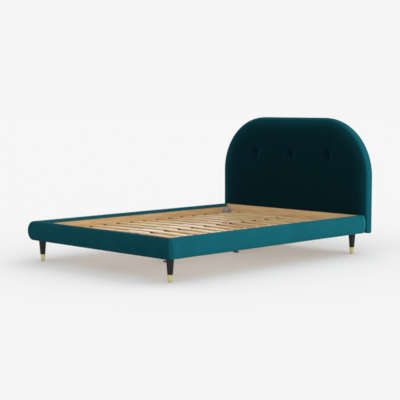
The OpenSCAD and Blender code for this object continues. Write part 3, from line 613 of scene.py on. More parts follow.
def buildButtons():
    rings, around, radius, depth, hem = (button[key] for key in ("rings", "around", "radius", "depth", "hem"))
    back = frontPlace + headboard["tuft depth"] + hem
    points, faces = [], []
    for bx, bz in tuftSpots:
        start = len(points)
        for share in (k / rings for k in range(1, rings + 1)):
            for i in range(around):
                a = 2 * math.pi * i / around
                pleat = button["pleat"] * smoothStep(0.45, 0.9, share) * math.cos(button["pleats"] * a)
                r = radius * min(1, math.sin(share * math.pi / 2) * 1.02) + pleat
                rise = depth * max(0, math.cos(share * math.pi / 2)) ** 0.75
                points.append((bx + r * math.cos(a), back - hem - rise + pleat, bz + r * math.sin(a)))
        points += [(bx + (x - bx) * 0.9, back, bz + (z - bz) * 0.9) for x, _, z in points[-around:]]
        tip = len(points)
        points += [(bx, back - hem - depth, bz), (bx, back, bz)]
        faces += ringFaces(rings + 1, around, start)
        for i in range(around):
            j = (i + 1) % around
            faces += [(tip, start + j, start + i), (tip + 1, tip - around + i, tip - around + j)]
    nap = []
    for x, _, z in points:
        bx, bz = min(tuftSpots, key=lambda spot: abs(spot[0] - x))
        # painted shade over the button, with a painted highlight on its right-hand flank, strongest below the
        # middle
        right = smoothStep(0.35, 0.9, (x - bx) / radius) * (1 - smoothStep(0.3, 0.9, (z - bz) / radius))
        nap.append(button["pile"] + button["flank highlight"] * right)
    return newPiece("headboardButtons", points, faces, velvet, nap=nap)


standFor(buildButtons(), "headboard_buttons")

# Rails: bowed padding under velvet, turned in behind the boards

rail = {"bow": 0.028, "edge padding": 0.012, "board": 0.018, "cloth": 0.002, "return": 0.024,
        "head end radius": 0.0045, "foot end radius": 0.005, "corner radius": 0.010,
        "seam from end": 0.0125, "foot seam from end": 0.0093, "seam height": 0.0011, "seam width": 0.0013,
        "groove from seam": 0.0042, "groove depth": 0.0014, "groove width": 0.0022,
        "wrap": 0.048, "wrap end radius": 0.0025, "wrap seam from end": 0.0040, "slackness": 0.0009}
# painted light and shade on the rails' velvet, 0 the deepest painted shade and 1 painted light: painted light
# on the sides, lighter towards the head end and darker towards the top; painted shade on the foot, darker
# towards its right and lighter round the corners and wrapped ends; painted highlights and shade at the seams
railLitShade = {"side": 0.64, "side head end": 0.78, "side up": -0.04, "foot": 0.31, "foot right": -0.022,
            "wrap end": 0.52, "corner": 0.40, "hidden side": 0.55, "hidden foot": 0.5,
            "seam highlight": 0.55, "groove shade": 0.30, "foot end seam": 0.4, "head end seam": 1.2}
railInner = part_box("side_rail_board_right")[0].x
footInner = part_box("foot_rail_board")[1].y
railLow, railHigh = (corner.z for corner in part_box("side_rail_cover_right"))
halfRail = (railHigh - railLow) / 2


def railSection():
    # the closed outline round foam and cloth: how far out from the board's inner face, and how high
    cloth, board, ret, mid = rail["cloth"], rail["board"], rail["return"], (railLow + railHigh) / 2
    flats = (0.001, 0.006, 0.012, 0.018, 0.022, 0.026)
    loop = [(-cloth, railHigh - 0.001), (-cloth * 0.6, railHigh - 0.0002)] + [(d, railHigh) for d in flats]
    for t in arc(40, math.pi):
        u = math.cos(t)
        out = math.sqrt(max(0, 1 - u ** 2))
        loop.append((board + rail["edge padding"] + rail["bow"] * out, mid + halfRail * u))
    loop += [(d, railLow) for d in reversed(flats)]
    loop += [(-cloth * 0.6, railLow + 0.0002), (-cloth, railLow + 0.001)]
    inside = [(-cloth, railLow + ret * 0.5), (-cloth, railLow + ret), (-0.0001, railLow + ret),
              (-0.0001, railLow + cloth), (board, railLow + cloth), (board, railHigh - cloth),
              (-0.0001, railHigh - cloth), (-0.0001, railHigh - ret), (-cloth, railHigh - ret),
              (-cloth, railHigh - ret * 0.5)]
    return loop + inside, len(loop)


section, outside = railSection()
sectionNormals = []
for i in range(len(section)):
    before, after = section[i - 1], section[(i + 1) % len(section)]
    along = Vector((after[0] - before[0], after[1] - before[1])).normalized()
    sectionNormals.append((-along.y, along.x) if i < outside else (0, 0))


def takeIn(toEnd, radius, seam):
    # how much the padding draws in near a sewn end, less the ridge of the seam
    drawn = radius - math.sqrt(max(0, radius ** 2 - max(0, radius - toEnd) ** 2))
    groove = rail["groove depth"] * bell(toEnd, seam - rail["groove from seam"], rail["groove width"])
    return drawn + groove - rail["seam height"] * bell(toEnd, seam, rail["seam width"])


def seamLitShade(toEnd, seam, wide=0.0042):
    # a painted highlight on the ridge beside a seam, and painted shade in its groove
    groove = bell(toEnd, seam - 1.7 * wide, 0.7 * wide)
    return railLitShade["seam highlight"] * bell(toEnd, seam, wide) - railLitShade["groove shade"] * groove


def sectionPoint(i, drawn, place):
    d, z = section[i]
    nd, nz = sectionNormals[i]
    soft = rail["slackness"]
    slack = soft * noise.noise(place * 5.5) + 0.4 * soft * noise.noise(place * 17)
    # the board is hard, so only the padding gives
    bowed = max(0, min(1, (d - rail["board"]) / 0.020))
    give = min(drawn, 0.0015) * (1 - bowed) + (drawn - slack * bowed) * bowed
    return d - nd * give, z - nz * give


def sweepSection(name, rows, pointOf):
    # pointOf gives a section point's place and its painted light level
    swept = [pointOf(row, i) for row in rows for i in range(len(section))]
    return newPiece(name, [place for place, _ in swept], tubeFaces(len(rows), len(section)), velvet, 50,
                    [lightLevel for _, lightLevel in swept])


def buildSideRail(side, hand):
    start, end = footInner, frontPlace
    # rows are close together near both ends, over the seams, and even between
    marks = [0, 0.0004, 0.0011, 0.0022, 0.0036, 0.0052, 0.007, 0.009, 0.0105, 0.0115, 0.0125, 0.0138,
             0.0147, 0.0155, 0.0163, 0.0172, 0.0185, 0.021, 0.026, 0.034]
    first, span = start + marks[-1], end - start - 2 * marks[-1]
    count = round(span / 0.014)
    rows = [start + m for m in marks] + [first + span * i / count for i in range(1, count)]
    rows += [end - m for m in reversed(marks)]

    def pointOf(y, i):
        drawn = (takeIn(end - y, rail["head end radius"], rail["seam from end"])
                 + takeIn(y - start, rail["foot end radius"], rail["foot seam from end"]))
        height = section[i][1]
        d, z = sectionPoint(i, drawn, Vector((side * 3, y, height)))
        # painted light on the side, lighter towards the head end and darker towards the top, with painted
        # highlights and shade at the seams of both ends; the hidden faces take one level
        lightLevel = railLitShade["side"] + (railLitShade["side head end"] - railLitShade["side"]) * (y - start) / (end - start)
        lightLevel += railLitShade["side up"] * (height - railLow - halfRail) / halfRail
        lightLevel += (railLitShade["foot end seam"] * seamLitShade(y - start, 0.011)
                + railLitShade["head end seam"] * seamLitShade(end - y, 0.0095, 0.0062))
        return (side * (railInner + d), y, z), lightLevel if i < outside else railLitShade["hidden side"]

    cover = sweepSection(f"sideRailVelvet{hand.capitalize()}", rows, pointOf)
    standFor(cover, f"side_rail_cover_{hand}", f"side_rail_foam_{hand}")


def buildFootRail():
    # the section runs round both corners, from one side rail to the other
    wrap = rail["wrap"]
    ends = [t / wrap for t in (0, 0.0004, 0.001, 0.002, 0.0032, 0.0046, 0.0058, 0.0066, 0.0075, 0.0084,
                               0.0095, 0.0115, 0.015, 0.022, 0.032, 0.04)] + [1]
    bends = arc(7, 1)
    runs = [0.125 * (1 - math.cos(math.pi * i / 110)) + 0.75 * i / 110 for i in range(1, 110)]
    stations = [("end", a, -1) for a in ends] + [("bend", a, -1) for a in bends[1:]]
    stations += [("run", b, 0) for b in runs]
    stations += [("bend", a, 1) for a in reversed(bends[:-1])] + [("end", a, 1) for a in reversed(ends[:-1])]

    def placeOf(kind, share, side, d):
        r = min(rail["corner radius"], max(d, 0))
        wide, deep = railInner + d, footInner - d
        if kind == "end":
            return side * wide, footInner - share * max(d - r, 0) if d >= 0 else deep
        if kind == "bend":
            a = share * math.pi / 2
            return side * (wide - r + r * math.cos(a)), deep + r - r * math.sin(a)
        return (2 * share - 1) * (wide - r), deep

    def pointOf(station, i):
        kind, share, _ = station
        height = section[i][1]
        x, y = placeOf(*station, section[i][0])
        toEnd = footInner - y if kind == "end" else 1
        drawn = takeIn(toEnd, rail["wrap end radius"], rail["wrap seam from end"]) if kind == "end" else 0
        d, z = sectionPoint(i, drawn, Vector((x, y * 0.3, height + 2)))
        # painted shade along the foot, darker towards its right, lighter round the corners and onto the
        # wrapped ends, with a painted highlight and shade at the wrap's seam
        run = railLitShade["foot"] + railLitShade["foot right"] * max(-1, min(1, placeOf(*station, d)[0] / railInner))
        corner, wrapEnd = railLitShade["corner"], railLitShade["wrap end"]
        lightLevel = {"end": wrapEnd + (corner - wrapEnd) * min(1, toEnd / wrap),
               "bend": corner + (run - corner) * share, "run": run}[kind] + seamLitShade(toEnd, 0.0035)
        return (*placeOf(*station, d), z), lightLevel if i < outside else railLitShade["hidden foot"]

    cover = sweepSection("footRailVelvet", stations, pointOf)
    standFor(cover, "foot_rail_cover", "foot_rail_foam")


buildSideRail(1, "right")
buildSideRail(-1, "left")
buildFootRail()
print("rails padded")

# Back of the headboard: black lining stapled over the timber frame

lining = {"inset": 0.012, "thickness": 0.0006, "hem": 0.014, "slackness": 0.0016, "mesh size": 0.016,
          "uprights at": 0.1975, "half an upright": 0.030, "bottom rail's top": 0.290}


def buildLining():
    # drawn flat, then hung in the back plane: tight at the staples, a little slack between the timbers
    inset, step, place = lining["inset"], lining["mesh size"], backPlace - 0.0001
    inner = inset + lining["hem"]
    rim = archLoop(inset, step)
    spots = [spot for spot in gridSpots(step) if fromOutline(*spot) > inner + step * 0.6]
    filled, cells, onHem = fillRim(archLoop(inner, step), spots)
    count = len(rim)
    points = [(x, place, z) for x, z in rim]
    for x, z in filled:
        loose = smoothStep(0.02, 0.16, fromOutline(x, z))
        wave = noise.noise(Vector((x * 2.6, z * 2.6, 7.0)))
        crease = noise.noise(Vector((x * 9, z * 3.2, 3.0)))
        sag = lining["slackness"] * loose * (0.7 + 0.7 * wave + 0.35 * crease)
        # it can't sink into the uprights and the bottom rail
        timber = min(abs(abs(x) - lining["uprights at"]) - lining["half an upright"],
                     z - lining["bottom rail's top"])
        sag = min(sag, 0.0009 + 0.05 * max(0, timber))
        pucker = 0.0003 * (1 - loose) * noise.noise(Vector((x * 60, z * 60, 1.0)))
        points.append((x, place - 0.0003 - max(0, sag) - abs(pucker), z))
    hem = {onRim: count + i for i, onRim in enumerate(onHem) if onRim is not None}
    faces = [(i, (i + 1) % count, hem[(i + 1) % count], hem[i]) for i in range(count)]
    faces += [[count + i for i in cell] for cell in cells]
    piece = newPiece("headboardLining", points, faces, liningCloth)
    if sum(p.normal.y * p.area for p in piece.data.polygons) < 0:
        piece.data.flip_normals()
    thicken = piece.modifiers.new("thickness", "SOLIDIFY")
    thicken.thickness = lining["thickness"]
    thicken.offset = -1
    standFor(piece, "headboard_back_cloth")


buildLining()
print("back lined")

# Shapes shared by the fittings


def latheProfile(profile, around, centre=(0, 0), closed=False, shift=None):
    # turns (radius, height) points about a vertical axis; shift may move a radius by angle and height
    points = []
    for r, z in profile:
        for i in range(around):
            a = 2 * math.pi * i / around
            wide = r + (shift(r, z, a) if shift else 0)
            points.append((centre[0] + wide * math.cos(a), centre[1] + wide * math.sin(a), z))
    return points, ringFaces(len(profile), around, closed=closed)


def joinShapes(*shapes):
    points, faces = [], []
    for morePoints, moreFaces in shapes:
        faces += [[len(points) + i for i in f] for f in moreFaces]
        points += morePoints
    return points, faces


def softBlock(low, high, arris, steps=2):
    # a block with eased edges
    work = bmesh.new()
    bmesh.ops.create_cube(work, size=1)
    for vertex in work.verts:
        vertex.co = Vector((low[i] + (vertex.co[i] + 0.5) * (high[i] - low[i]) for i in range(3)))
    bmesh.ops.bevel(work, geom=list(work.edges), offset=arris, segments=steps, profile=0.5, affect="EDGES")
    work.verts.index_update()
    shape = [tuple(v.co) for v in work.verts], [[v.index for v in f.verts] for f in work.faces]
    work.free()
    return shape


def mergedCopy(node):
    # the frame's own solids, with their loose triangles joined
    work = bmesh.new()
    work.from_mesh(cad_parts[node].data)
    bmesh.ops.remove_doubles(work, verts=work.verts, dist=1e-5)
    return work


def softCopy(node, arris, sharpAt=40):
    # the frame's own solid, with its sharp edges eased
    work = mergedCopy(node)
    bmesh.ops.dissolve_limit(work, angle_limit=math.radians(1), verts=work.verts, edges=work.edges)
    sharp = [e for e in work.edges if e.is_manifold and e.calc_face_angle(0) > math.radians(sharpAt)]
    bmesh.ops.bevel(work, geom=sharp, offset=arris, segments=2, profile=0.5, affect="EDGES",
                    clamp_overlap=True)
    mesh = bpy.data.meshes.new(pieceName(node))
    work.to_mesh(mesh)
    work.free()
    standFor(finishPiece(mesh, finishOf[node], 50), node)


def cornersOf(points):
    low, high = (Vector([pick(p[i] for p in points) for i in range(3)]) for pick in (min, max))
    return low, high, (low + high) / 2


def solidsIn(node):
    # the points of each separate solid in a node
    work = mergedCopy(node)
    left, found = set(work.verts), []
    while left:
        seeds, points = [left.pop()], []
        while seeds:
            vertex = seeds.pop()
            points.append(vertex.co.copy())
            near = {edge.other_vert(vertex) for edge in vertex.link_edges} & left
            left -= near
            seeds += near
        found.append(points)
    work.free()
    # the same order each run
    return sorted(found, key=lambda points: [round(c, 3) for c in cornersOf(points)[2]])


def startTree(name, inputs):
    # a geometry tree that starts with a mesh and the named inputs, and what adds a node to it
    tree = bpy.data.node_groups.new(name, "GeometryNodeTree")
    tree.interface.new_socket("Geometry", in_out="OUTPUT", socket_type="NodeSocketGeometry")
    for label, kind in {"Geometry": "Geometry", **inputs}.items():
        tree.interface.new_socket(label, in_out="INPUT", socket_type="NodeSocket" + kind)

    def add(kind, inputs=None, **settings):
        return addNode(tree, kind, inputs, **settings)

    return tree, add, add("NodeGroupInput").outputs


def endTree(add, copies, start):
    # each copy may get a tone of its own; they are made real and get their material
    if "Seed" in start:
        tone = add("FunctionNodeRandomValue", {"Seed": start["Seed"]}, data_type="FLOAT").outputs[1]
        copies = add("GeometryNodeStoreNamedAttribute", {"Geometry": copies, "Name": "tone", "Value": tone},
                     data_type="FLOAT", domain="INSTANCE")
    solid = add("GeometryNodeRealizeInstances", {0: copies})
    solid = add("GeometryNodeSetMaterial", {"Geometry": solid, "Material": start["Material"]})
    add("NodeGroupOutput", {0: solid})


def growPiece(name, tree, base, values, sharpAt=40, shape=None):
    # runs a tree on a base mesh, and keeps what it makes as a plain mesh; shape is what it copies
    grower = addObject(name + "Base", base)
    if shape:
        values = {**values, "Shape": addObject(name + "Shape", solidMesh(name + "Shape", *shape))}
    modifier = grower.modifiers.new("grow", "NODES")
    modifier.node_group = tree
    for item in tree.interface.items_tree:
        if item.in_out == "INPUT" and item.name in values:
            modifier[item.identifier] = values[item.name]
    mesh = bpy.data.meshes.new_from_object(grower.evaluated_get(bpy.context.evaluated_depsgraph_get()))
    for helper in [grower] + ([values["Shape"]] if shape else []):
        bpy.data.objects.remove(helper)
    mesh.name = name
    mesh.shade_smooth()
    mesh.set_sharp_from_angle(angle=math.radians(sharpAt))
    return addObject(name, mesh)


def copiesTree():
    # one shape on every point, turned by the point's own "turn"
    tree, add, start = startTree("copiesOnPoints", {"Shape": "Object", "Material": "Material", "Seed": "Int"})
    shape = add("GeometryNodeObjectInfo", {"Object": start["Shape"]}, transform_space="ORIGINAL")
    turned = add("GeometryNodeInputNamedAttribute", {"Name": "turn"}, data_type="FLOAT_VECTOR")
    endTree(add, add("GeometryNodeInstanceOnPoints", {
        "Points": add("GeometryNodeMeshToPoints", {"Mesh": start["Geometry"]}),
        "Instance": shape.outputs["Geometry"],
        "Rotation": add("FunctionNodeEulerToRotation", {0: turned.outputs["Attribute"]})}), start)
    return tree


copies = copiesTree()


def placeCopies(node, shape, places, seed=1, sharpAt=40):
    # places are (point, turn) pairs
    name = pieceName(node)
    base = makeMesh(name + "Points", [place for place, _ in places])
    base.attributes.new("turn", "FLOAT_VECTOR", "POINT").data.foreach_set(
        "vector", [v for _, turn in places for v in turn])
    values = {"Material": finishOf[node], "Seed": seed}
    standFor(growPiece(name, copies, base, values, sharpAt, shape), node)


# Slats


def slatTree():
    # one bent slat drawn along its arch, then laid side by side down the bed
    kinds = {**{key: "Float" for key in slat}, "Count": "Int", "Seed": "Int", "Material": "Material"}
    tree, add, start = startTree("sprungSlats", kinds)
    half, rise, thick = start["Half length"], start["Rise"], start["Thickness"]
    left = add("ShaderNodeMath", {0: half, 1: -1.0}, operation="MULTIPLY")
    line = add("GeometryNodeCurvePrimitiveLine", {"Start": add("ShaderNodeCombineXYZ", {0: left}),
                                                  "End": add("ShaderNodeCombineXYZ", {0: half})})
    line = add("GeometryNodeResampleCurve", {"Curve": line, "Count": 61})
    x = add("ShaderNodeSeparateXYZ", {0: add("GeometryNodeInputPosition")})
    share = add("ShaderNodeMath", {0: x, 1: half}, operation="DIVIDE")
    square = add("ShaderNodeMath", {0: share, 1: share}, operation="MULTIPLY")
    level = add("ShaderNodeMath", {0: 1.0, 1: square}, operation="SUBTRACT")
    arch = add("ShaderNodeMath", {0: level, 1: rise}, operation="MULTIPLY")
    under = add("ShaderNodeMath", {0: arch, 1: start["Underside"]}, operation="ADD")
    halfThick = add("ShaderNodeMath", {0: thick, 1: 0.5}, operation="MULTIPLY")
    middle = add("ShaderNodeMath", {0: under, 1: halfThick}, operation="ADD")
    line = add("GeometryNodeSetPosition", {"Geometry": line,
                                           "Offset": add("ShaderNodeCombineXYZ", {2: middle})})
    outline = add("GeometryNodeCurvePrimitiveQuadrilateral", {"Width": start["Width"], "Height": thick})
    outline = add("GeometryNodeFilletCurve", {"Curve": outline, "Radius": start["Edge radius"], "Count": 4},
                  mode="POLY")
    bent = add("GeometryNodeCurveToMesh", {"Curve": line, "Profile Curve": outline, "Fill Caps": True})
    bent = add("GeometryNodeSetShadeSmooth", {"Geometry": bent, "Shade Smooth": True})
    row = add("GeometryNodeMeshLine", {"Count": start["Count"],
                                       "Start Location": add("ShaderNodeCombineXYZ", {1: start["First"]}),
                                       "Offset": add("ShaderNodeCombineXYZ", {1: start["Pitch"]})})
    endTree(add, add("GeometryNodeInstanceOnPoints", {"Points": row, "Instance": bent}), start)
    return tree


slats = growPiece("sprungSlats", slatTree(), makeMesh("none", []),
                  {**slat, "Material": finishOf[slatNames[0]]})
standFor(slats, *slatNames)
print("slats laid:", len(slats.data.polygons), "faces")

# Holders at the slats' ends, saddles at their middles

holder = {"length": 0.032, "floor": 0.004, "saddle floor": 0.006, "wall": 0.003, "lip": 0.008, "edge": 0.0007,
          "peg": 0.0035, "peg length": 0.018, "rib": 0.0006, "rib width": 0.0016, "rib pitch": 0.0095,
          "rib edge": 0.0003}
slotHalf = slat["Width"] / 2 + 0.0003
holderHalf = slotHalf + holder["wall"]


def seatParts(start, end, floor, ribs, pegX):
    # a channel that holds a slat from below: floor, walls with ribs outside, and a peg under it
    top, edge, rib, wide = floor + holder["lip"], holder["edge"], holder["rib"], holder["rib width"] / 2
    parts = [softBlock((start, -holderHalf, 0), (end, holderHalf, floor), edge),
             softBlock((start, slotHalf, 0.001), (end, holderHalf, top), edge),
             softBlock((start, -holderHalf, 0.001), (end, -slotHalf, top), edge)]
    for side in (-1, 1):
        y = side * (holderHalf + rib / 2)
        parts += [softBlock((x - wide, y - rib, 0.0015), (x + wide, y + rib / 2, top - 0.0012),
                            holder["rib edge"], 1) for x in ribs]
    r, depth = holder["peg"], -holder["peg length"]
    peg = [(0, depth), (r * 0.7, depth), (r, depth + 0.0015), (r, 0.001), (0, 0.001)]
    return parts + [latheProfile(peg, 20, (pegX, 0))]


def holderParts():
    # open towards the slat (-X), with an end wall that has ribs on its inner face
    long, wall, floor = holder["length"], holder["wall"], holder["floor"]
    half, top = holderHalf - 0.0002, floor + holder["lip"]
    parts = seatParts(-long, 0, floor, [-long * share for share in (0.2, 0.4, 0.6, 0.8)], 0.002 - long / 2)
    parts.append(softBlock((-wall, -half, 0.0012), (-0.0001, half, top - 0.0002), holder["edge"]))
    for y in (k * holder["rib pitch"] for k in range(-3, 4)):
        parts.append(softBlock((-wall - 0.0011, y - 0.0007, floor - 0.0005),
                               (0.001 - wall, y + 0.0007, top - 0.001), holder["rib edge"], 1))
    return parts


slatRows = [slat["First"] + slat["Pitch"] * i for i in range(slat["Count"])]
ledgeTop = slat["Underside"] - holder["floor"]
placeCopies("slat_holders", joinShapes(*holderParts()),
            [((side * railInner, y, ledgeTop), (0, 0, 0 if side > 0 else math.pi))
             for side in (-1, 1) for y in slatRows])
saddleFloor, halfSaddle = holder["saddle floor"], holder["length"] / 2
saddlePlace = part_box("slat_saddles")[1].z - saddleFloor - holder["lip"]
placeCopies("slat_saddles",
            joinShapes(*seatParts(-halfSaddle, halfSaddle, saddleFloor, (-0.009, -0.003, 0.003, 0.009), 0)),
            [((0, y, saddlePlace), (0, 0, 0)) for y in slatRows])
print("holders and saddles placed")

# Screws and bolts

crossHead = {"radius": 0.0045, "height": 0.003, "shank": 0.00225, "recess": 0.0013, "slot": 0.00105,
             "thread": 0.0016, "point": 0.006}
boltHead = {"radius": 0.0072, "height": 0.003, "shank": 0.004, "socket": 0.0029}


def cutShape(shape, cutter):
    # takes the cutter out of the shape
    body, tool = addObject("body", solidMesh("body", *shape)), addObject("tool", solidMesh("tool", *cutter))
    cut = body.modifiers.new("cut", "BOOLEAN")
    cut.operation, cut.solver, cut.object = "DIFFERENCE", "EXACT", tool
    result = bpy.data.meshes.new_from_object(body.evaluated_get(bpy.context.evaluated_depsgraph_get()))
    for helper in (body, tool):
        bpy.data.objects.remove(helper)
    return [tuple(v.co) for v in result.vertices], [tuple(p.vertices) for p in result.polygons]


def screwShape(length):
    # cross-head wood screw: domed head above 0, shank with a shallow thread and a point below
    r, h, s, thread = (crossHead[key] for key in ("radius", "height", "shank", "thread"))
    profile = [(0, h)] + [(r * math.sin(a), h * 0.35 + h * 0.65 * math.cos(a)) for a in arc(6, first=1)]
    profile += [(r, 0.0002), (r - 0.0002, 0), (s, 0)]
    for k in range(round((length - crossHead["point"]) / thread)):
        z = -0.002 - k * thread
        profile += [(s * 0.78, z), (s, z - 0.0007), (s * 0.78, z - 0.0014)]
    profile += [(s * 0.75, -length + 0.003), (0, -length)]
    body = latheProfile(profile, 20)
    w, deep, reach = crossHead["slot"] / 2, h - crossHead["recess"], r * 0.62
    for x, y in ((reach, w), (w, reach)):
        body = cutShape(body, softBlock((-x, -y, deep), (x, y, h + 0.002), 0.0001, 1))
    return body


def boltShape(length):
    # low flat head with a hexagon socket
    r, h, s, socket = (boltHead[key] for key in ("radius", "height", "shank", "socket"))
    profile = [(0, h), (r - 0.0006, h), (r - 0.0002, h - 0.0002), (r, h - 0.0007), (r, 0.0003),
               (r - 0.0003, 0), (s, 0), (s, -length + 0.001), (s - 0.001, -length), (0, -length)]
    key = latheProfile([(0, h - 0.002), (socket, h - 0.002), (socket, h + 0.001), (0, h + 0.001)], 6)
    return cutShape(latheProfile(profile, 32), key)


def fastenersIn(node, headHeight, seed):
    # where each fastener's head sits and which way it faces, from the frame's own solids
    spin, places = random.Random(seed), []
    for points in solidsIn(node):
        low, high, mid = cornersOf(points)
        size = high - low
        axis = max(range(3), key=lambda i: size[i])

        def girth(end):
            across = [i for i in range(3) if i != axis]
            return max(math.hypot(*(p[i] - mid[i] for i in across))
                       for p in points if abs(p[axis] - end) < 1e-4)

        out = 1 if girth(high[axis]) > girth(low[axis]) else -1
        seat = mid.copy()
        seat[axis] = (high if out > 0 else low)[axis] - out * headHeight
        facing = Vector([out if i == axis else 0 for i in range(3)])
        turn = Matrix.Rotation(spin.uniform(0, 6.28), 3, "Z").to_quaternion()
        places.append((seat, (facing.to_track_quat("Z", "Y") @ turn).to_euler()))
    return places, size[axis] - headHeight


for node, makeShape, head, seed in (("ledge_screws", screwShape, crossHead, 11),
                                    ("plate_screws", screwShape, crossHead, 12),
                                    ("headboard_bolts", boltShape, boltHead, 13)):
    places, shankLength = fastenersIn(node, head["height"], seed)
    placeCopies(node, makeShape(shankLength), places, seed, 35)
print("screws and bolts placed")

# Timber and steel with eased edges

easedEdges = {"corner_brackets": 0.0005, "centre_rail_hangers": 0.0006, "corner_blocks": 0.0014,
              "slat_ledge_left": 0.0014, "slat_ledge_right": 0.0014, "centre_rail": 0.0016,
              "head_rail_board": 0.0014, "leg_foot_left": 0.0007, "leg_head_left": 0.0007,
              "leg_foot_right": 0.0007, "leg_head_right": 0.0007}
for node, arris in easedEdges.items():
    softCopy(node, arris)
print("timber and steel edges eased")

# Ferrules: drawn brass with a rolled upper rim

leg = {"foot": 0.029, "top": 0.055, "height": 0.158}
ferrule = {"height": 0.051, "proud": 0.0015, "wall": 0.0012, "rim": 0.0006, "roll": 0.004}


def legRadius(z):
    return (leg["foot"] + (leg["top"] - leg["foot"]) * z / leg["height"]) / 2


def buildFerrules():
    low, high, rim, wall = (ferrule[key] for key in ("proud", "height", "rim", "wall"))
    reach = high - ferrule["roll"] - low
    profile = [(legRadius(low) - 0.0005, low), (legRadius(low) - 0.0001, low + 0.0003),
               (legRadius(low + 0.001), low + 0.001)]
    profile += [(legRadius(low + reach * i / 8), low + reach * i / 8) for i in range(1, 9)]
    profile += [(legRadius(high) + rim * math.sin(a) * 0.9, high - 0.0014 - 0.0014 * math.cos(a))
                for a in arc(8, math.pi, 1)]
    profile += [(legRadius(high) - wall, high - 0.0002), (legRadius(low) - wall, low)]
    middles = [cornersOf(points)[2] for points in solidsIn("leg_ferrules")]
    shapes = [latheProfile(profile, 64, middle, closed=True) for middle in middles]
    standFor(newPiece("legFerrules", *joinShapes(*shapes), brass, 50), "leg_ferrules")


buildFerrules()

# Centre legs: tube welded to its plate, threaded stem and nylon pad

weld = {"tube": 0.0185, "plate": 0.003, "ripple": 0.00035, "ripples": 26,
        # how far out from the tube, and how far below the plate
        "bead": [(0, -0.0003), (0, 0.0042), (0.0007, 0.0040), (0.0018, 0.0032), (0.0029, 0.0022),
                 (0.0039, 0.0010), (0.0044, -0.0003)]}
stem = {"radius": 0.005, "thread depth": 0.0008, "pitch": 0.0015, "across flats": 0.017,
        "hexagon": (0.0103, 0.0163), "around": 24}
pad = {"flutes": 24, "flute depth": 0.00045, "bore": 0.0051, "floor": 0.003}


def boxOf(node):
    # its lowest and highest corners, and the middle of its plan
    low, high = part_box(node)
    return low, high, ((low.x + high.x) / 2, (low.y + high.y) / 2)


def buildWeld(end):
    _, high, middle = boxOf(f"centre_leg_{end}")

    def ripple(r, z, a):
        wave = math.sin(a * weld["ripples"] + math.sin(a * 5))
        return weld["ripple"] * wave if r > weld["tube"] + 0.001 else 0

    bead = [(weld["tube"] + out, high.z - weld["plate"] - down) for out, down in weld["bead"]]
    piece = newPiece(f"weld{end.capitalize()}", *latheProfile(bead, 156, middle, True, ripple), powderCoat)
    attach(piece, "frame")


def buildStem(end):
    node = f"leveller_stem_{end}"
    low, high, middle = boxOf(node)
    hexLow, hexHigh = stem["hexagon"]
    r, depth, pitch, around = (stem[key] for key in ("radius", "thread depth", "pitch", "around"))
    start, finish = hexHigh - 0.0005, high.z - 0.002
    steps = int((finish - start) / pitch * around)
    # the ridge of the thread is wound round the core, and runs out at both ends
    ridge = [(-depth - 0.0002, -0.45), (0, -0.12), (0, 0.12), (-depth - 0.0002, 0.45)]
    points = []
    for k in range(steps + 1):
        a, z = 2 * math.pi * k / around, start + pitch * k / around
        ease = min(1, 0.15 + k / around, 0.15 + (steps - k) / around)
        for out, share in ridge:
            wide = r + out if out else r - depth * (1 - ease)
            points.append((middle[0] + wide * math.cos(a), middle[1] + wide * math.sin(a),
                           z + share * pitch * ease))
    core = latheProfile([(0, low.z), (r - 0.0008, low.z), (r, low.z + 0.0008), (r, hexHigh + 0.0002),
                         (r - depth, hexHigh + 0.0012), (r - depth, high.z - 0.0006),
                         (r - depth - 0.0006, high.z), (0, high.z)], 32, middle)
    corner = stem["across flats"] / 2 / math.cos(math.pi / 6)
    hexagon = latheProfile([(0, hexLow), (corner - 0.0009, hexLow), (corner, hexLow + 0.0006),
                            (corner, hexHigh - 0.0006), (corner - 0.0009, hexHigh), (0, hexHigh)], 6, middle)
    shape = joinShapes(core, hexagon, (points, tubeFaces(steps + 1, 4)))
    standFor(newPiece(pieceName(node), *shape, zinc, 30), node, body=f"{end}_stem")


def buildPad(end):
    node = f"leveller_pad_{end}"
    _, high, middle = boxOf(node)
    r, top, bore = high.x - middle[0], high.z, pad["bore"]

    def flute(wide, z, a):
        fluted = wide > r * 0.93 and 0.001 < z < top * 0.75
        return -pad["flute depth"] * (0.5 + 0.5 * math.cos(a * pad["flutes"])) if fluted else 0

    profile = [(0, 0), (r - 0.0012, 0), (r - 0.0003, 0.0004), (r, 0.0014), (r, top * 0.62),
               (r - 0.0006, top * 0.70), (r - 0.0030, top - 0.0004), (r - 0.0042, top), (0.0085, top),
               (0.0080, top - 0.0004), (0.0062, top - 0.0004), (0.0054, top - 0.0009), (bore, top - 0.002),
               (bore, pad["floor"]), (0, pad["floor"])]
    shape = latheProfile(profile, 96, middle, shift=flute)
    standFor(newPiece(pieceName(node), *shape, nylon, 50), node, body=f"{end}_pad")


for end in ("front", "rear"):
    softCopy(f"centre_leg_{end}", 0.0005)
    buildWeld(end)
    buildStem(end)
    buildPad(end)
print("ferrules, centre legs and levelling feet made")

# Staples: along the lining's hem and the velvet turned in behind the boards

staple = {"crown": 0.011, "wire": 0.0011, "flat": 0.0006, "spacing": 0.038, "leg": 0.0012,
          "from lining's edge": 0.0065, "up the return": 0.62, "from foot end": 0.03, "from head end": 0.06}


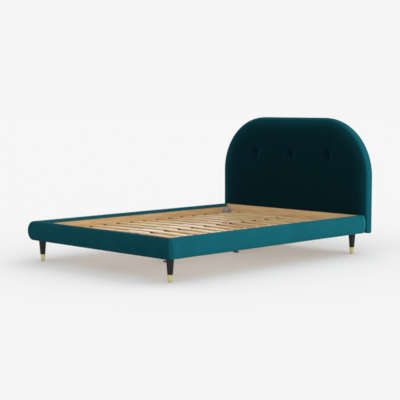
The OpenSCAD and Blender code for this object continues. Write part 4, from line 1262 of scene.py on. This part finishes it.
def stapleTree():
    # staples spaced along a line, each with its crown along it and its back outwards
    tree, add, start = startTree("staplesAlongLine", {
        "Spacing": "Float", "Shape": "Object", "Material": "Material"})
    path = add("GeometryNodeMeshToCurve", {"Mesh": start["Geometry"]})
    path = add("GeometryNodeResampleCurve", {"Curve": path, "Length": start["Spacing"]}, mode="LENGTH")
    outward = add("GeometryNodeInputNamedAttribute", {"Name": "outward"}, data_type="FLOAT_VECTOR")
    turned = add("FunctionNodeAxesToRotation", {"Primary Axis": outward.outputs["Attribute"],
                                                "Secondary Axis": add("GeometryNodeInputTangent")},
                 primary_axis="Z", secondary_axis="X")
    shape = add("GeometryNodeObjectInfo", {"Object": start["Shape"]}, transform_space="ORIGINAL")
    endTree(add, add("GeometryNodeInstanceOnPoints", {
        "Points": path, "Instance": shape.outputs["Geometry"], "Rotation": turned}), start)
    return tree


def stapleShape():
    # flat wire bent twice: its section swept from one leg, along the crown, to the other
    c, w, f, foot = staple["crown"] / 2, staple["wire"] / 2, staple["flat"], -staple["leg"]
    path = [(-c, foot, True), (-c, f * 0.6, True), (-c + f * 0.4, f, False), (c - f * 0.4, f, False),
            (c, f * 0.6, True), (c, foot, True)]
    points = []
    for x, z, upright in path:
        inX, inZ = (x - math.copysign(f, x), z) if upright else (x, z - f)
        for across, out in ((-w, 0), (-w * 0.7, 1), (w * 0.7, 1), (w, 0)):
            points.append((inX + (x - inX) * out, across, inZ + (z - inZ) * out))
    return points, tubeFaces(len(path), 4)


def buildStaples():
    points, outward, edges = [], [], []

    def addLine(line, out, closed=False):
        start, count = len(points), len(line)
        points.extend(line)
        outward.extend(out * count)
        edges.extend((start + i, start + (i + 1) % count) for i in range(count if closed else count - 1))

    hem = archLoop(lining["inset"] + staple["from lining's edge"], 0.02)
    addLine([(x, backPlace - 0.0001, z) for x, z in hem], (0, 1, 0), True)
    up = rail["return"] * staple["up the return"]
    heights = (railLow + up, railHigh - up)
    inside, footPlace = railInner - rail["cloth"], footInner + rail["cloth"]
    first, last, reach = (footInner + staple["from foot end"], frontPlace - staple["from head end"],
                          railInner - staple["from foot end"])
    for side in (-1, 1):
        for z in heights:
            addLine([(side * inside, first, z), (side * inside, last, z)], (-side, 0, 0))
    for z in heights:
        addLine([(-reach, footPlace, z), (reach, footPlace, z)], (0, 1, 0))
    base = makeMesh("stapleLines", points, edges=edges)
    base.attributes.new("outward", "FLOAT_VECTOR", "POINT").data.foreach_set("vector", outward)
    piece = growPiece("staples", stapleTree(), base, {"Spacing": staple["spacing"], "Material": zinc},
                      shape=stapleShape())
    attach(piece, "frame")
    return piece


print("stapled:", len(buildStaples().data.polygons), "faces")

# Stage and light

light = {"floor": "#E6E6E6", "backdrop": "#F5F5F5", "overhead": 1.14, "from the right": 0.15,
         "from behind": 0.45, "lamp": 0.35, "lamp from": (1.0, -0.12, 0.20), "lamp softness": 40}
paper = startMaterial("paleFloor", {"Base Color": colour(light["floor"]), "Roughness": 1.0,
                                    "Specular IOR Level": 0.0})[0]
floor = addObject("floor", makeMesh("floor", [(-60, -60, 0), (60, -60, 0), (60, 60, 0), (-60, 60, 0)],
                                    [(0, 1, 2, 3)]))
floor.location.z = -0.0003
floor.data.materials.append(paper)

scene.world.use_nodes = True
sky = scene.world.node_tree
sky.nodes.clear()
rays = addNode(sky, "ShaderNodeLightPath").outputs
seen = rays["Is Camera Ray"]
for ray in ("Is Glossy Ray", "Is Transmission Ray"):
    seen = addNode(sky, "ShaderNodeMath", {0: seen, 1: rays[ray]}, operation="MAXIMUM")
# a soft dome, paler behind the headboard and dimmer at the foot
heading = addNode(sky, "ShaderNodeTexCoord").outputs["Generated"]
lean = addNode(sky, "ShaderNodeVectorMath",
               {0: heading, 1: (light["from the right"], light["from behind"], 0)}, operation="DOT_PRODUCT")
dome = addNode(sky, "ShaderNodeMath", {0: lean.outputs["Value"], 1: light["overhead"]})
dome = addNode(sky, "ShaderNodeMath", {0: dome, 1: 0.0}, operation="MAXIMUM")
ambient = addNode(sky, "ShaderNodeBackground", {"Color": (1, 1, 1, 1), "Strength": dome})
backdrop = addNode(sky, "ShaderNodeBackground", {"Color": colour(light["backdrop"]), "Strength": 1.0})
both = addNode(sky, "ShaderNodeMixShader", {0: seen, 1: ambient, 2: backdrop})
addNode(sky, "ShaderNodeOutputWorld", {0: both})
lamp = bpy.data.lights.new("sideLamp", "SUN")
lamp.energy = light["lamp"]
lamp.angle = math.radians(light["lamp softness"])
addObject("sideLamp", lamp).rotation_euler = Vector(light["lamp from"]).to_track_quat("Z", "Y").to_euler()
print("stage and light set")
